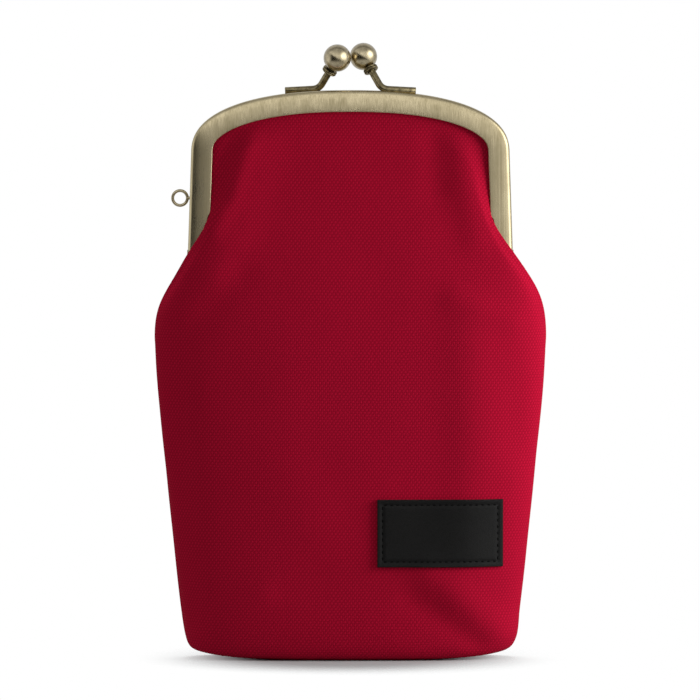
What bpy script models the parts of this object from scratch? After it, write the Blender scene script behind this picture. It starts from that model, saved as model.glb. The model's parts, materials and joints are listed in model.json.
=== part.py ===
"""Clasp pouch: a boxed cloth bag sewn from two panels and a lining, held in a two-part sprung metal frame that
opens on two rivets and closes with two crossing ball clasps. Metres, +Z up, the front of the bag faces -Y."""

import math

import bmesh
import bpy
from mathutils import Matrix, Vector

# Frame: two pressed channels, one for each half
ARCH_HALF_WIDTH = 0.0445
ARCH_RISE = 0.018
ARCH_POWER_X, ARCH_POWER_Z = 2.3, 2.5
FRAME_TOP = 0.159
HINGE_Z = 0.108
LEG_SPLAY = 0.0011
SHEET = 0.0007
FACE_WIDTH = 0.006
REAR_WIDTH = 0.005
CHANNEL_DEPTH = 0.005
EDGE_RADIUS = 0.001
HALF_GAP = 0.0003
ARCH_STEPS = 30

# Hinge: round ears on one rivet each side
EAR_RADIUS = 0.0035
EAR_SHEET = 0.0008
EAR_PROUD = 0.0001
EAR_NECK_WIDTH = 0.0036
EAR_ROOT = 0.0004
JOGGLE_HEIGHT = 0.0023
HINGE_CLEARANCE = 0.0003
RIVET_RADIUS = 0.0009
RIVET_HOLE_RADIUS = 0.0011
RIVET_HEAD_RADIUS = 0.0018
RIVET_HEAD_HEIGHT = 0.0007
RIVET_HEAD_SHARES = ((0, 1), (0.55, 0.85), (0.9, 0.45), (1, 0))
RIVET_PEEN_SHARES = ((0.85, 0), (0.7, 0.6), (0, 0.7))

# Clasps: a bent wire brazed on each half, with a collar and a ball
CLASP_WIRE_RADIUS = 0.001
CLASP_ROD_END_X = 0.0183
CLASP_BEND_X = 0.0088
CLASP_ROD_TILT = 3.0
CLASP_BEND_RADIUS = 0.0034
CLASP_SEAT = 0.0002
BALL_RADIUS = 0.00385
BALL_GAP = 0.0001
BALL_RISE = 0.0094
BALL_STEP = 0.0004
BALL_CROSS = 0.0016
COLLAR_RADIUS = 0.0021
COLLAR_THICKNESS = 0.0011
COLLAR_SEAT = 0.0003
COLLAR_ROUND = 0.00027
WIRE_CLEARANCE = 0.0002
WIRE_IN_BALL = 0.0016

# Strap eye on the left leg of the back half
EYE_OUTER_RADIUS = 0.0025
EYE_WIRE_RADIUS = 0.00043
EYE_SHANK_RADIUS = 0.00045
EYE_HOLE_RADIUS = 0.00065
EYE_Z = 0.1288
CUTTER_MARGIN = 0.0010

# Bag: outer cloth and lining, each cut as a front and a back panel
BASE_HALF_WIDTH = 0.0463
SHOULDER_HALF_WIDTH = 0.0556
SHOULDER_TURN_IN = 0.0004
SHOULDER_Z = 0.090
BASE_HALF_DEPTH = 0.0152
SHOULDER_HALF_DEPTH = 0.0140
BASE_EDGE = 0.0050
BASE_CORNER_LIFT = 0.0032
BASE_CORNER_SHRINK = 0.0110
WALL_CORNER_LIFT = 0.0019
SHOULDER_ROUND = 0.0080
OPENING_STOP_Z = 0.0985
CLOTH = 0.0007
LINING = 0.0004
CLOTH_GAP = 0.0003
OUTER_SEAM_GAP = 0.0004
LINING_SEAM_GAP = 0.0010
CLOTH_EDGE_INSET = 0.0014
LEG_CLOTH_END_Z = 0.1330
LEG_CLOTH_RUN = 0.0075
MOUTH_BEHIND_LIP = 0.0042
CLOTH_UNDER_LIP = 0.0006
CLOTH_LEAN = 0.0004

# Paper cord that wedges the cloth in the channel
CORD_RADIUS = 0.0007
CORD_INSET = 0.0026
CORD_END_Z = LEG_CLOTH_END_Z

# Sewn label
LABEL_WIDTH = 0.0349
LABEL_HEIGHT = 0.0188
LABEL_LEFT_X = 0.0075
LABEL_BOTTOM_Z = 0.0264
LABEL_SHEET = 0.0008

ARCH_BASE_Z = FRAME_TOP - ARCH_RISE
CHANNEL_END_Z = HINGE_Z + EAR_RADIUS + 2 * HINGE_CLEARANCE
FACE_Y = HALF_GAP / 2 + CHANNEL_DEPTH
EAR_NECK_INNER_Y = HALF_GAP / 2 + HINGE_CLEARANCE
CLOTH_IN_CHANNEL_Y = FACE_Y - SHEET - CLOTH_GAP
BALL_X = BALL_RADIUS + BALL_GAP / 2

for thing in list(bpy.data.objects):
    bpy.data.objects.remove(thing, do_unlink=True)

part = bpy.data.collections.new("clasp_pouch")
helpers = bpy.data.collections.new("helpers")
for group in (part, helpers):
    bpy.context.scene.collection.children.link(group)


def material(name, colour, roughness, metallic=0.0):
    made = bpy.data.materials.new(name)
    made.use_nodes = True
    shader = made.node_tree.nodes["Principled BSDF"]
    shader.inputs["Base Color"].default_value = (*colour, 1.0)
    shader.inputs["Roughness"].default_value = roughness
    shader.inputs["Metallic"].default_value = metallic
    return made


BRASS = material("antique_brass", (0.40, 0.33, 0.17), 0.38, 1.0)
RED_CLOTH = material("red_canvas", (0.35, 0.004, 0.014), 0.85)
LINING_CLOTH = material("dark_lining", (0.10, 0.004, 0.008), 0.9)
PAPER = material("paper_cord", (0.55, 0.42, 0.26), 0.9)
BLACK_LEATHER = material("black_label", (0.012, 0.012, 0.012), 0.55)


def place(name, mesh, group, finish=None, matrix=None):
    thing = bpy.data.objects.new(name, mesh)
    if matrix is not None:
        thing.matrix_world = matrix
    if finish is not None:
        mesh.materials.clear()
        mesh.materials.append(finish)
    group.objects.link(thing)
    return thing


def helper(thing):
    """Marks an object that only cuts or joins."""
    for group in list(thing.users_collection):
        group.objects.unlink(thing)
    helpers.objects.link(thing)
    thing.hide_render = True
    thing.display_type = "WIRE"
    return thing


def smooth(thing, degrees=35):
    thing.data.shade_smooth()
    thing.data.set_sharp_from_angle(angle=math.radians(degrees))


def boolean(thing, other, operation):
    step = thing.modifiers.new(operation.lower(), "BOOLEAN")
    step.operation = operation
    step.solver = "EXACT"
    step.object = other


def flat_curve(name, points, closed, rotation=(0, 0, 0)):
    data = bpy.data.curves.new(name, "CURVE")
    data.dimensions = "2D"
    spline = data.splines.new("POLY")
    spline.points.add(len(points) - 1)
    for knot, (a, b) in zip(spline.points, points):
        knot.co = (a, b, 0, 1)
    spline.use_cyclic_u = closed
    thing = bpy.data.objects.new(name, data)
    thing.rotation_euler = rotation
    bpy.context.scene.collection.objects.link(thing)
    return thing


def wire_curve(name, points, radius, resolution):
    data = bpy.data.curves.new(name, "CURVE")
    data.dimensions = "3D"
    spline = data.splines.new("POLY")
    spline.points.add(len(points) - 1)
    for knot, point in zip(spline.points, points):
        knot.co = (*point, 1)
    data.bevel_depth = radius
    data.bevel_resolution = resolution
    data.use_fill_caps = True
    thing = bpy.data.objects.new(name, data)
    bpy.context.scene.collection.objects.link(thing)
    return thing


def meshed(thing, *also_removed):
    """Turns a curve into a closed mesh in world space, and removes the curve."""
    bpy.context.view_layer.update()
    seen = thing.evaluated_get(bpy.context.evaluated_depsgraph_get())
    mesh = bpy.data.meshes.new_from_object(seen)
    mesh.transform(thing.matrix_world)
    work = bmesh.new()
    work.from_mesh(mesh)
    bmesh.ops.remove_doubles(work, verts=work.verts, dist=1e-7)
    bmesh.ops.recalc_face_normals(work, faces=work.faces)
    work.to_mesh(mesh)
    work.free()
    for old in (thing, *also_removed):
        bpy.data.objects.remove(old, do_unlink=True)
    return mesh


def turned(name, profile, matrix, group, finish, steps=24):
    """Spins (radius, height) points, given from the top down the outer side, about the local Z axis."""
    mesh = bpy.data.meshes.new(name)
    work = bmesh.new()
    knots = [work.verts.new((radius, 0, height)) for radius, height in profile]
    for first, second in zip(knots, knots[1:]):
        work.edges.new((first, second))
    work.to_mesh(mesh)
    work.free()
    thing = place(name, mesh, group, finish, matrix)
    screw = thing.modifiers.new("turn", "SCREW")
    screw.steps = screw.render_steps = steps
    screw.use_merge_vertices = True
    screw.merge_threshold = 1e-6
    return thing


def cylinder_between(name, start, end, radius, sides=24):
    """A cutter: a plain cylinder from one point to another."""
    start, end = Vector(start), Vector(end)
    along = end - start
    bpy.ops.mesh.primitive_cylinder_add(
        vertices=sides, radius=radius, depth=along.length, location=(start + end) / 2
    )
    thing = bpy.context.object
    thing.name = name
    thing.rotation_euler = along.to_track_quat("Z", "Y").to_euler()
    return helper(thing)


def mix(a, b, t):
    return a + (b - a) * t


def leg_x(z):
    """Outer side of a leg at a height: the legs splay a little towards the hinge."""
    return ARCH_HALF_WIDTH + LEG_SPLAY * (ARCH_BASE_Z - z) / (ARCH_BASE_Z - HINGE_Z)


def arch_point(angle, inset):
    """A point of the arch, moved inwards by inset; angle 0 is the right end and a half turn the left."""
    cosine, sine = math.cos(angle), math.sin(angle)
    x = ARCH_HALF_WIDTH * math.copysign(abs(cosine) ** (2 / ARCH_POWER_X), cosine)
    rise = ARCH_RISE * abs(sine) ** (2 / ARCH_POWER_Z)
    out = Vector((
        math.copysign(abs(x / ARCH_HALF_WIDTH) ** (ARCH_POWER_X - 1) * ARCH_POWER_X / ARCH_HALF_WIDTH, x),
        (rise / ARCH_RISE) ** (ARCH_POWER_Z - 1) * ARCH_POWER_Z / ARCH_RISE,
    )).normalized()
    return x - inset * out.x, ARCH_BASE_Z + rise - inset * out.y


def outline(inset, end_z):
    """The frame's outline from the foot of the left leg over the arch to the foot of the right one."""
    arch = [arch_point(math.pi * (1 - step / ARCH_STEPS), inset) for step in range(ARCH_STEPS + 1)]
    foot = leg_x(end_z) - inset
    return [(-foot, end_z), *arch, (foot, end_z)]


def channel_section(front):
    """The pressed channel: (inwards, forwards) points, open inwards, with a rounded outer edge on its face."""
    back, face = HALF_GAP / 2, FACE_Y
    turns = 4
    rounding = [
        (
            EDGE_RADIUS * (1 - math.cos(math.pi / 2 * k / turns)),
            face - EDGE_RADIUS * (1 - math.sin(math.pi / 2 * k / turns)),
        )
        for k in range(turns + 1)
    ]
    points = [
        (REAR_WIDTH, back),
        (0, back),
        *rounding,
        (FACE_WIDTH, face),
        (FACE_WIDTH, face - SHEET),
        (SHEET, face - SHEET),
        (SHEET, back + SHEET),
        (REAR_WIDTH, back + SHEET),
    ]
    return [(u, v if front else -v) for u, v in points]


def ear_outline(side):
    """Side view of an ear, (y, z) points: a round end on the hinge and a neck up into the channel's web.
    side is -1 for the front half and 1 for the back half."""
    neck_top = CHANNEL_END_Z + JOGGLE_HEIGHT
    inner, outer = EAR_NECK_INNER_Y, EAR_NECK_INNER_Y + EAR_NECK_WIDTH
    start, end, turns = math.radians(60), math.radians(-190), 22
    round_end = []
    for k in range(turns + 1):
        angle = start + (end - start) * k / turns
        round_end.append((-side * EAR_RADIUS * math.cos(angle), HINGE_Z + EAR_RADIUS * math.sin(angle)))
    return [(side * inner, neck_top), (side * inner, CHANNEL_END_Z - EAR_ROOT), *round_end,
            (side * outer, CHANNEL_END_Z - EAR_ROOT / 2), (side * outer, neck_top)]


def plate(name, points, x_from, x_to):
    """A flat plate with its outline in the side view, between two places across the bag."""
    curve = flat_curve(name, points, True)
    curve.data.fill_mode = "BOTH"
    curve.data.extrude = (x_to - x_from) / 2
    curve.matrix_world = Matrix((
        (0, 0, 1, (x_from + x_to) / 2),
        (1, 0, 0, 0),
        (0, 1, 0, 0),
        (0, 0, 0, 1),
    ))
    return helper(place(name, meshed(curve), helpers))


def ear_span(side):
    """Where an ear lies across the right leg: the front half's ear is outside, the back half's is set inwards."""
    outer = leg_x(CHANNEL_END_Z) + EAR_PROUD
    if side > 0:
        outer -= EAR_SHEET + HINGE_CLEARANCE
    return outer - EAR_SHEET, outer


def frame_half(name, side):
    """One pressed half of the frame with its two ears. side is -1 for the front and 1 for the back."""
    section = flat_curve("section", channel_section(side < 0), True)
    path = flat_curve("path", outline(0, CHANNEL_END_Z), False, (math.pi / 2, 0, 0))
    path.data.bevel_mode = "OBJECT"
    path.data.bevel_object = section
    path.data.use_fill_caps = True
    half = place(name, meshed(path, section), part, BRASS)
    near, far = ear_span(side)
    for hand in (-1, 1):
        reach = sorted((hand * near, hand * far))
        boolean(half, plate(f"{name}_ear_{hand}", ear_outline(side), *reach), "UNION")
        if side > 0:
            bpy.ops.mesh.primitive_cube_add(size=1)
            step = bpy.context.object
            step.name = f"{name}_joggle_{hand}"
            step.scale = (EAR_SHEET + HINGE_CLEARANCE, EAR_NECK_WIDTH + 2 * EAR_PROUD, JOGGLE_HEIGHT)
            step.location = (
                hand * (leg_x(CHANNEL_END_Z) - (EAR_SHEET + HINGE_CLEARANCE) / 2 - SHEET / 2),
                EAR_NECK_INNER_Y + EAR_NECK_WIDTH / 2,
                CHANNEL_END_Z + EAR_PROUD + JOGGLE_HEIGHT / 2,
            )
            boolean(half, helper(step), "UNION")
    reach = leg_x(HINGE_Z) + CUTTER_MARGIN
    hole = cylinder_between(f"{name}_rivet_hole", (-reach, 0, HINGE_Z), (reach, 0, HINGE_Z), RIVET_HOLE_RADIUS)
    boolean(half, hole, "DIFFERENCE")
    return half


def hinge_rivet(name, hand):
    """A rivet through both ears, with a domed head outside and a peened one inside."""
    outer = ear_span(-1)[1] + HINGE_CLEARANCE / 2
    inner = ear_span(1)[0] - HINGE_CLEARANCE / 2
    head = [(RIVET_HEAD_RADIUS * r, outer + RIVET_HEAD_HEIGHT * h) for r, h in RIVET_HEAD_SHARES]
    peen = [(RIVET_HEAD_RADIUS * r, inner - RIVET_HEAD_HEIGHT * h) for r, h in RIVET_PEEN_SHARES]
    profile = [*head, (RIVET_RADIUS, outer), (RIVET_RADIUS, inner), *peen]
    matrix = Matrix.Translation((0, 0, HINGE_Z)) @ Matrix.Rotation(hand * math.pi / 2, 4, "Y")
    smooth(turned(name, profile, matrix, part, BRASS, 20))


def frame_top_z(x):
    """Height of the frame's outer edge at a place across the arch."""
    share = min(abs(x) / ARCH_HALF_WIDTH, 1)
    return ARCH_BASE_Z + ARCH_RISE * (1 - share ** ARCH_POWER_X) ** (1 / ARCH_POWER_Z)


def clasp_rod_z():
    """Height of the rod's centre line at its bend, so that the tilted rod just clears the frame all along."""
    heights = []
    for k in range(9):
        x = mix(CLASP_BEND_X, CLASP_ROD_END_X, k / 8)
        heights.append(frame_top_z(x) + math.tan(math.radians(CLASP_ROD_TILT)) * (x - CLASP_BEND_X))
    return max(heights) + CLASP_SEAT + CLASP_WIRE_RADIUS


def clasp(name, side, hand):
    """A wire brazed along the top of one half, bent up and in, with a collar and a ball on its end.
    side is -1 for the front half and 1 for the back; hand is -1 for the left clasp and 1 for the right."""
    rod_y = side * (HALF_GAP / 2 + CHANNEL_DEPTH / 2)
    tilt = math.radians(CLASP_ROD_TILT)
    rod = Vector((-hand * math.cos(tilt), 0, math.sin(tilt)))
    bend = Vector((hand * CLASP_BEND_X, rod_y, clasp_rod_z()))
    ball_z = FRAME_TOP + BALL_RISE - (BALL_STEP if side > 0 else 0)
    ball = Vector((hand * BALL_X, -side * BALL_CROSS, ball_z))
    stem = (ball - bend).normalized()
    reach = CLASP_BEND_RADIUS * math.tan(rod.angle(stem) / 2)
    turns = 8
    arc = []
    for k in range(turns + 1):
        t = k / turns
        before = bend - rod * reach * (1 - t)
        after = bend + stem * reach * t
        arc.append(before.lerp(after, t))
    rod_end = bend - rod * ((CLASP_ROD_END_X - CLASP_BEND_X) / math.cos(tilt))
    wire_end = ball - stem * (BALL_RADIUS - WIRE_IN_BALL)
    wire = wire_curve(name, [rod_end, *arc, wire_end], CLASP_WIRE_RADIUS, 3)
    smooth(place(f"{name}_wire", meshed(wire), part, BRASS))

    bore = CLASP_WIRE_RADIUS + WIRE_CLEARANCE
    foot = math.sqrt(BALL_RADIUS ** 2 - bore ** 2)
    ball_profile = [(0, BALL_RADIUS)]
    last = math.pi - math.asin(bore / BALL_RADIUS)
    steps = 12
    for k in range(1, steps + 1):
        angle = last * k / steps
        ball_profile.append((BALL_RADIUS * math.sin(angle), BALL_RADIUS * math.cos(angle)))
    blind = -BALL_RADIUS + WIRE_IN_BALL + WIRE_CLEARANCE
    ball_profile += [(bore, blind), (0, blind)]
    turn = stem.to_track_quat("Z", "Y").to_matrix().to_4x4()
    smooth(turned(f"{name}_ball", ball_profile, Matrix.Translation(ball) @ turn, part, BRASS))

    top = -foot - COLLAR_SEAT
    low = top - COLLAR_THICKNESS
    collar_profile = [
        (bore, top),
        (COLLAR_RADIUS - COLLAR_ROUND, top),
        (COLLAR_RADIUS, top - COLLAR_ROUND),
        (COLLAR_RADIUS, low + COLLAR_ROUND),
        (COLLAR_RADIUS - COLLAR_ROUND, low),
        (bore, low),
        (bore, top),
    ]
    smooth(turned(f"{name}_collar", collar_profile, Matrix.Translation(ball) @ turn, part, BRASS))


def strap_eye(name, back_half):
    """A small eye beside the left leg, with a shank through the leg's side."""
    ring_radius = EYE_OUTER_RADIUS - EYE_WIRE_RADIUS
    wall = leg_x(EYE_Z)
    centre = Vector((-(wall + CLOTH_GAP + EYE_OUTER_RADIUS), HALF_GAP / 2 + CHANNEL_DEPTH / 2, EYE_Z))
    bpy.ops.mesh.primitive_torus_add(
        major_radius=ring_radius, minor_radius=EYE_WIRE_RADIUS, major_segments=28, minor_segments=10,
        location=centre, rotation=(math.pi / 2, 0, 0),
    )
    ring = bpy.context.object
    for group in list(ring.users_collection):
        group.objects.unlink(ring)
    part.objects.link(ring)
    ring.name = name
    ring.data.materials.append(BRASS)
    start = (centre.x + ring_radius, centre.y, EYE_Z)
    end = (-(wall - SHEET - CLOTH_GAP), centre.y, EYE_Z)
    boolean(ring, cylinder_between("eye_shank", start, end, EYE_SHANK_RADIUS, 14), "UNION")
    smooth(ring)
    hole = cylinder_between(
        "eye_hole",
        (-(wall + CUTTER_MARGIN), centre.y, EYE_Z),
        (-(wall - SHEET - CUTTER_MARGIN), centre.y, EYE_Z),
        EYE_HOLE_RADIUS,
    )
    boolean(back_half, hole, "DIFFERENCE")


def bag_half_width(z):
    return mix(BASE_HALF_WIDTH, SHOULDER_HALF_WIDTH, z / SHOULDER_Z)


def bag_half_depth(z):
    return mix(BASE_HALF_DEPTH, SHOULDER_HALF_DEPTH, z / SHOULDER_Z)


# One entry for each column of the cage, from the middle of the panel to its side seam: shares of the bag's half
# width and half depth, and the share of the corner's lift that the base has there
COLUMN_SHARES = ((0.0, 1.0), (0.36, 0.985), (0.65, 0.9), (0.87, 0.72), (0.992, 0.34), (1.0, 0.0))
BASE_LIFT_SHARES = (0.0, 0.0, 0.1, 0.42, 0.88, 1.0)

# The base ends where its rows, as shares of the half depth, turn up into the walls; the walls have rows at heights
BASE_ROW_SHARES = (0.0, 0.45, 0.86)
WALL_ROWS = (BASE_EDGE, SHOULDER_Z / 3, SHOULDER_Z * 2 / 3, SHOULDER_Z - SHOULDER_ROUND)

# Where the columns meet the frame: angles on the arch, then heights on the leg
ARCH_ANGLES = (90, 68, 48, 30)
LEG_HEIGHTS = (LEG_CLOTH_END_Z + LEG_CLOTH_RUN, LEG_CLOTH_END_Z)

# Shoulder row: shares of the shoulder's half width and half depth, and of the rise from the opening stop to the
# foot of the channel
SHOULDER_SHARES = (
    (0.000, 0.843, 0.846), (0.362, 0.836, 0.846), (0.634, 0.800, 0.735),
    (0.833, 0.729, 0.550), (0.946, 0.529, 0.280), (1.000, 0.000, 0.000),
)
# Neck rows: shares of the way from the shoulder row to the channel's mouth, and offsets outwards and forwards
NECK_SHARES = (
    (0.41, 0.405, 0.39, 0.34, 0.29, 0.35),
    (0.75, 0.745, 0.73, 0.66, 0.56, 0.69),
)
NECK_OFFSETS = (
    ((0, -0.0012), (0, -0.0012), (-0.0010, -0.0008), (-0.0032, 0.0004), (-0.0025, 0.0021), (0.0014, 0.0043)),
    ((0, -0.0009), (0.0010, -0.0009), (0.0007, -0.0006), (-0.0028, 0), (-0.0039, 0.0016), (0.0012, 0.0034)),
)
# Mouth row, just inside the channel's inner edge: forwards of the cloth in the channel, down and outwards
MOUTH_OFFSETS = ((0.0004, 0, 0), (0.0004, 0, 0), (0.0005, 0, 0), (0.0008, 0.001, 0),
                 (0.0015, 0.0085, 0.0002), (0.0014, 0.0088, 0.0024))
MOUTH_INSET = FACE_WIDTH + MOUTH_BEHIND_LIP
CHANNEL_ROWS = ((FACE_WIDTH - CLOTH_UNDER_LIP, CLOTH_LEAN), (CLOTH_EDGE_INSET, 0.0))


def channel_place(column, inset):
    """Where a column meets the frame, moved inwards from its outline by inset: (x, z)."""
    if column < len(ARCH_ANGLES):
        return arch_point(math.radians(ARCH_ANGLES[column]), inset)
    z = LEG_HEIGHTS[column - len(ARCH_ANGLES)]
    return leg_x(z) - inset, z


def bag_cage(seam):
    """Rows of points for the right half of the front panel's outer face, from the bottom seam up to its edge in
    the channel. seam is how far the edges that are sewn stay from the middle plane."""
    rows = []
    for share in BASE_ROW_SHARES:
        width = bag_half_width(0) - (1 - share) * BASE_CORNER_SHRINK
        rows.append([
            Vector((a * width, -max(b * BASE_HALF_DEPTH * share, seam), lift * BASE_CORNER_LIFT))
            for (a, b), lift in zip(COLUMN_SHARES, BASE_LIFT_SHARES)
        ])
    for z in WALL_ROWS:
        width, depth = bag_half_width(z), bag_half_depth(z)
        rows.append([Vector((a * width, -max(b * depth, seam), z)) for a, b in COLUMN_SHARES])
    for point, lift in zip(rows[len(BASE_ROW_SHARES)], BASE_LIFT_SHARES):
        point.z += lift * WALL_CORNER_LIFT
    shoulder = [
        Vector((
            a * (SHOULDER_HALF_WIDTH - SHOULDER_TURN_IN),
            -max(b * SHOULDER_HALF_DEPTH, seam),
            mix(OPENING_STOP_Z, CHANNEL_END_Z, rise),
        ))
        for a, b, rise in SHOULDER_SHARES
    ]
    mouth = []
    for column, (forwards, down, outwards) in enumerate(MOUTH_OFFSETS):
        x, z = channel_place(column, MOUTH_INSET)
        mouth.append(Vector((x + outwards, -CLOTH_IN_CHANNEL_Y - forwards, z - down)))
    rows.append(shoulder)
    for shares, offsets in zip(NECK_SHARES, NECK_OFFSETS):
        rows.append([
            low.lerp(high, share) + Vector((outwards, -forwards, 0))
            for low, high, share, (outwards, forwards) in zip(shoulder, mouth, shares, offsets)
        ])
    rows.append(mouth)
    for inset, backwards in CHANNEL_ROWS:
        places = [channel_place(column, inset) for column in range(len(COLUMN_SHARES))]
        rows.append([Vector((x, backwards - CLOTH_IN_CHANNEL_Y, z)) for x, z in places])
    return rows


def bag_panel(name, side, finish, depth_in, thickness, seam_gap):
    """A cloth panel on the cage, depth_in behind the bag's outer face. side is -1 for the front, 1 for the back."""
    rows = bag_cage(seam_gap / 2)
    across, up = len(COLUMN_SHARES) - 1, len(rows) - 1
    work = bmesh.new()
    bmesh.ops.create_grid(work, x_segments=across, y_segments=up, size=1)
    work.verts.ensure_lookup_table()
    for vert in work.verts:
        column = round((vert.co.x + 1) / 2 * across)
        row = round((vert.co.y + 1) / 2 * up)
        x, y, z = rows[row][column]
        vert.co = (x, -side * y, z)
    if side > 0:
        bmesh.ops.reverse_faces(work, faces=work.faces)
    mesh = bpy.data.meshes.new(name)
    work.to_mesh(mesh)
    work.free()
    panel = place(name, mesh, part, finish)
    mirror = panel.modifiers.new("other_half", "MIRROR")
    mirror.use_clip = True
    mirror.merge_threshold = 1e-6
    finer = panel.modifiers.new("smooth", "SUBSURF")
    finer.levels = finer.render_levels = 1
    if depth_in:
        inwards = panel.modifiers.new("inwards", "DISPLACE")
        inwards.direction = "NORMAL"
        inwards.mid_level = 0
        inwards.strength = -depth_in
    wall = panel.modifiers.new("wall", "SOLIDIFY")
    wall.thickness = thickness
    wall.offset = -1
    wall.use_even_offset = False
    panel.data.shade_smooth()
    return panel


def label():
    """A stitched patch on the front panel, bent to the panel's face."""
    columns, rows = 12, 4
    work = bmesh.new()
    bmesh.ops.create_grid(work, x_segments=columns, y_segments=rows, size=0.5)
    for vert in work.verts:
        x = LABEL_LEFT_X + LABEL_WIDTH * (vert.co.x + 0.5)
        z = LABEL_BOTTOM_Z + LABEL_HEIGHT * (vert.co.y + 0.5)
        vert.co = (x, front_face_y(x, z) - CLOTH_GAP, z)
    mesh = bpy.data.meshes.new("label_patch")
    work.to_mesh(mesh)
    work.free()
    patch = place("label_patch", mesh, part, BLACK_LEATHER)
    wall = patch.modifiers.new("wall", "SOLIDIFY")
    wall.thickness = LABEL_SHEET
    wall.offset = 1
    return patch


def front_face_y(x, z):
    """The front of the bag at a place, from the cage's columns joined by straight runs."""
    width, depth = bag_half_width(z), bag_half_depth(z)
    share = min(abs(x) / width, 1)
    for (a, b), (c, d) in zip(COLUMN_SHARES, COLUMN_SHARES[1:]):
        if share <= c:
            return -depth * mix(b, d, (share - a) / (c - a))
    return 0.0


def paper_cord(name, side):
    centre_y = side * (HALF_GAP / 2 + SHEET + CLOTH_GAP + CORD_RADIUS)
    points = [(x, centre_y, z) for x, z in outline(CORD_INSET, CORD_END_Z)]
    cord = wire_curve(name, points, CORD_RADIUS, 2)
    smooth(place(name, meshed(cord), part, PAPER))


front_half = frame_half("front_frame", -1)
back_half = frame_half("back_frame", 1)
for half in (front_half, back_half):
    smooth(half, 25)
strap_eye("strap_eye", back_half)
hinge_rivet("left_hinge_rivet", -1)
hinge_rivet("right_hinge_rivet", 1)
clasp("front_clasp", -1, 1)
clasp("back_clasp", 1, -1)
bag_panel("front_panel", -1, RED_CLOTH, 0, CLOTH, OUTER_SEAM_GAP)
bag_panel("back_panel", 1, RED_CLOTH, 0, CLOTH, OUTER_SEAM_GAP)
bag_panel("front_lining", -1, LINING_CLOTH, CLOTH + CLOTH_GAP, LINING, LINING_SEAM_GAP)
bag_panel("back_lining", 1, LINING_CLOTH, CLOTH + CLOTH_GAP, LINING, LINING_SEAM_GAP)
paper_cord("front_paper_cord", -1)
paper_cord("back_paper_cord", 1)
label()
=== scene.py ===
# %% [markdown]
# # A clasp pouch, from a plain model to a finished picture
#
# The pouch already exists as a plain model: its pieces have their true sizes and places, and they are
# fixed. This lesson dresses it. Each step makes one piece or one finish: the pressed brass frame, the two
# ball clasps, the strap eye, the canvas with its weave, the lining, the stitched patch, and then the studio
# around them.
#
# The first cell loads the plain model. Every size that it can answer is asked of it, so that a new piece
# always fits the old one.

# %% Load the plain model
import json
import math

import bmesh
import bpy
import numpy as np
from mathutils import Matrix, Vector, noise
from mathutils.bvhtree import BVHTree


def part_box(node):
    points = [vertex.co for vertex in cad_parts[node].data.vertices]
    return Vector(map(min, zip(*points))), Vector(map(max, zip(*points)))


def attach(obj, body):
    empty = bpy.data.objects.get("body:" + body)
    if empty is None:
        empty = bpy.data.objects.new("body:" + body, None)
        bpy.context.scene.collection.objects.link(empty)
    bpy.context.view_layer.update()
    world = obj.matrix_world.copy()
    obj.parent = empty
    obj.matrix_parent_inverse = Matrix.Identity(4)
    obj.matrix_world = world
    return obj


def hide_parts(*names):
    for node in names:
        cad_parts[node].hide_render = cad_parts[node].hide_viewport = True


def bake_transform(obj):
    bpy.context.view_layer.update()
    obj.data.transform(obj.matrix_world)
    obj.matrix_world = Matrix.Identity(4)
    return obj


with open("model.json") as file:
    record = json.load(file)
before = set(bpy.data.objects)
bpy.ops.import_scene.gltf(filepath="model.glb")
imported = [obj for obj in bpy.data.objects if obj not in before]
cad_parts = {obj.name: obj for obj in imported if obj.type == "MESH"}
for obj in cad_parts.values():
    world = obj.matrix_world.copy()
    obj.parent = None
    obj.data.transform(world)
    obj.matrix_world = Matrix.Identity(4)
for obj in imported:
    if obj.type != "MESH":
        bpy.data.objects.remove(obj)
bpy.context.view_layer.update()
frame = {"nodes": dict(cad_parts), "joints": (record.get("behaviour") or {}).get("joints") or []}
scene = bpy.context.scene
print("plain pieces:", ", ".join(sorted(frame["nodes"])))

# %% [markdown]
# ## Sizes
#
# Lengths are in metres, as in the plain model, and MM keeps them readable. The frame's outline is the one
# that the plain frame has: two legs that splay a little, and an arch that is squarer than an ellipse, which
# is why it is worked out from powers and not drawn as an arc.

# %% Sizes taken from the plain model
MM = 0.001
FRONT, BACK = -1, 1
LEFT, RIGHT = -1, 1

frame_low, frame_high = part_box("front_frame")
FRAME_TOP = frame_high.z
FACE_Y = -frame_low.y
HINGE_Z = next(joint["pos_m"][2] for joint in frame["joints"] if joint["name"] == "front_frame_hinge")
HALF_GAP = 0.3 * MM
print(f"frame top {FRAME_TOP / MM:.2f} mm, face {FACE_Y / MM:.2f} mm, hinge {HINGE_Z / MM:.2f} mm")

# %% Sizes of the pressed frame
SHEET = 0.7 * MM
FACE_WIDTH = 6 * MM
REAR_WIDTH = 5 * MM
ARCH_HALF_WIDTH = 44.5 * MM
ARCH_RISE = 18 * MM
ARCH_POWER_X, ARCH_POWER_Z = 2.3, 2.5
ARCH_BASE_Z = FRAME_TOP - ARCH_RISE
LEG_SPLAY = 1.1 * MM
EAR_RADIUS = 3.5 * MM
HINGE_CLEARANCE = 0.3 * MM
LEG_END_Z = HINGE_Z + EAR_RADIUS + 2 * HINGE_CLEARANCE


def leg_x(z):
    """How far from the middle the outer side of a leg is at a height."""
    return ARCH_HALF_WIDTH + LEG_SPLAY * (ARCH_BASE_Z - z) / (ARCH_BASE_Z - HINGE_Z)


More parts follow.
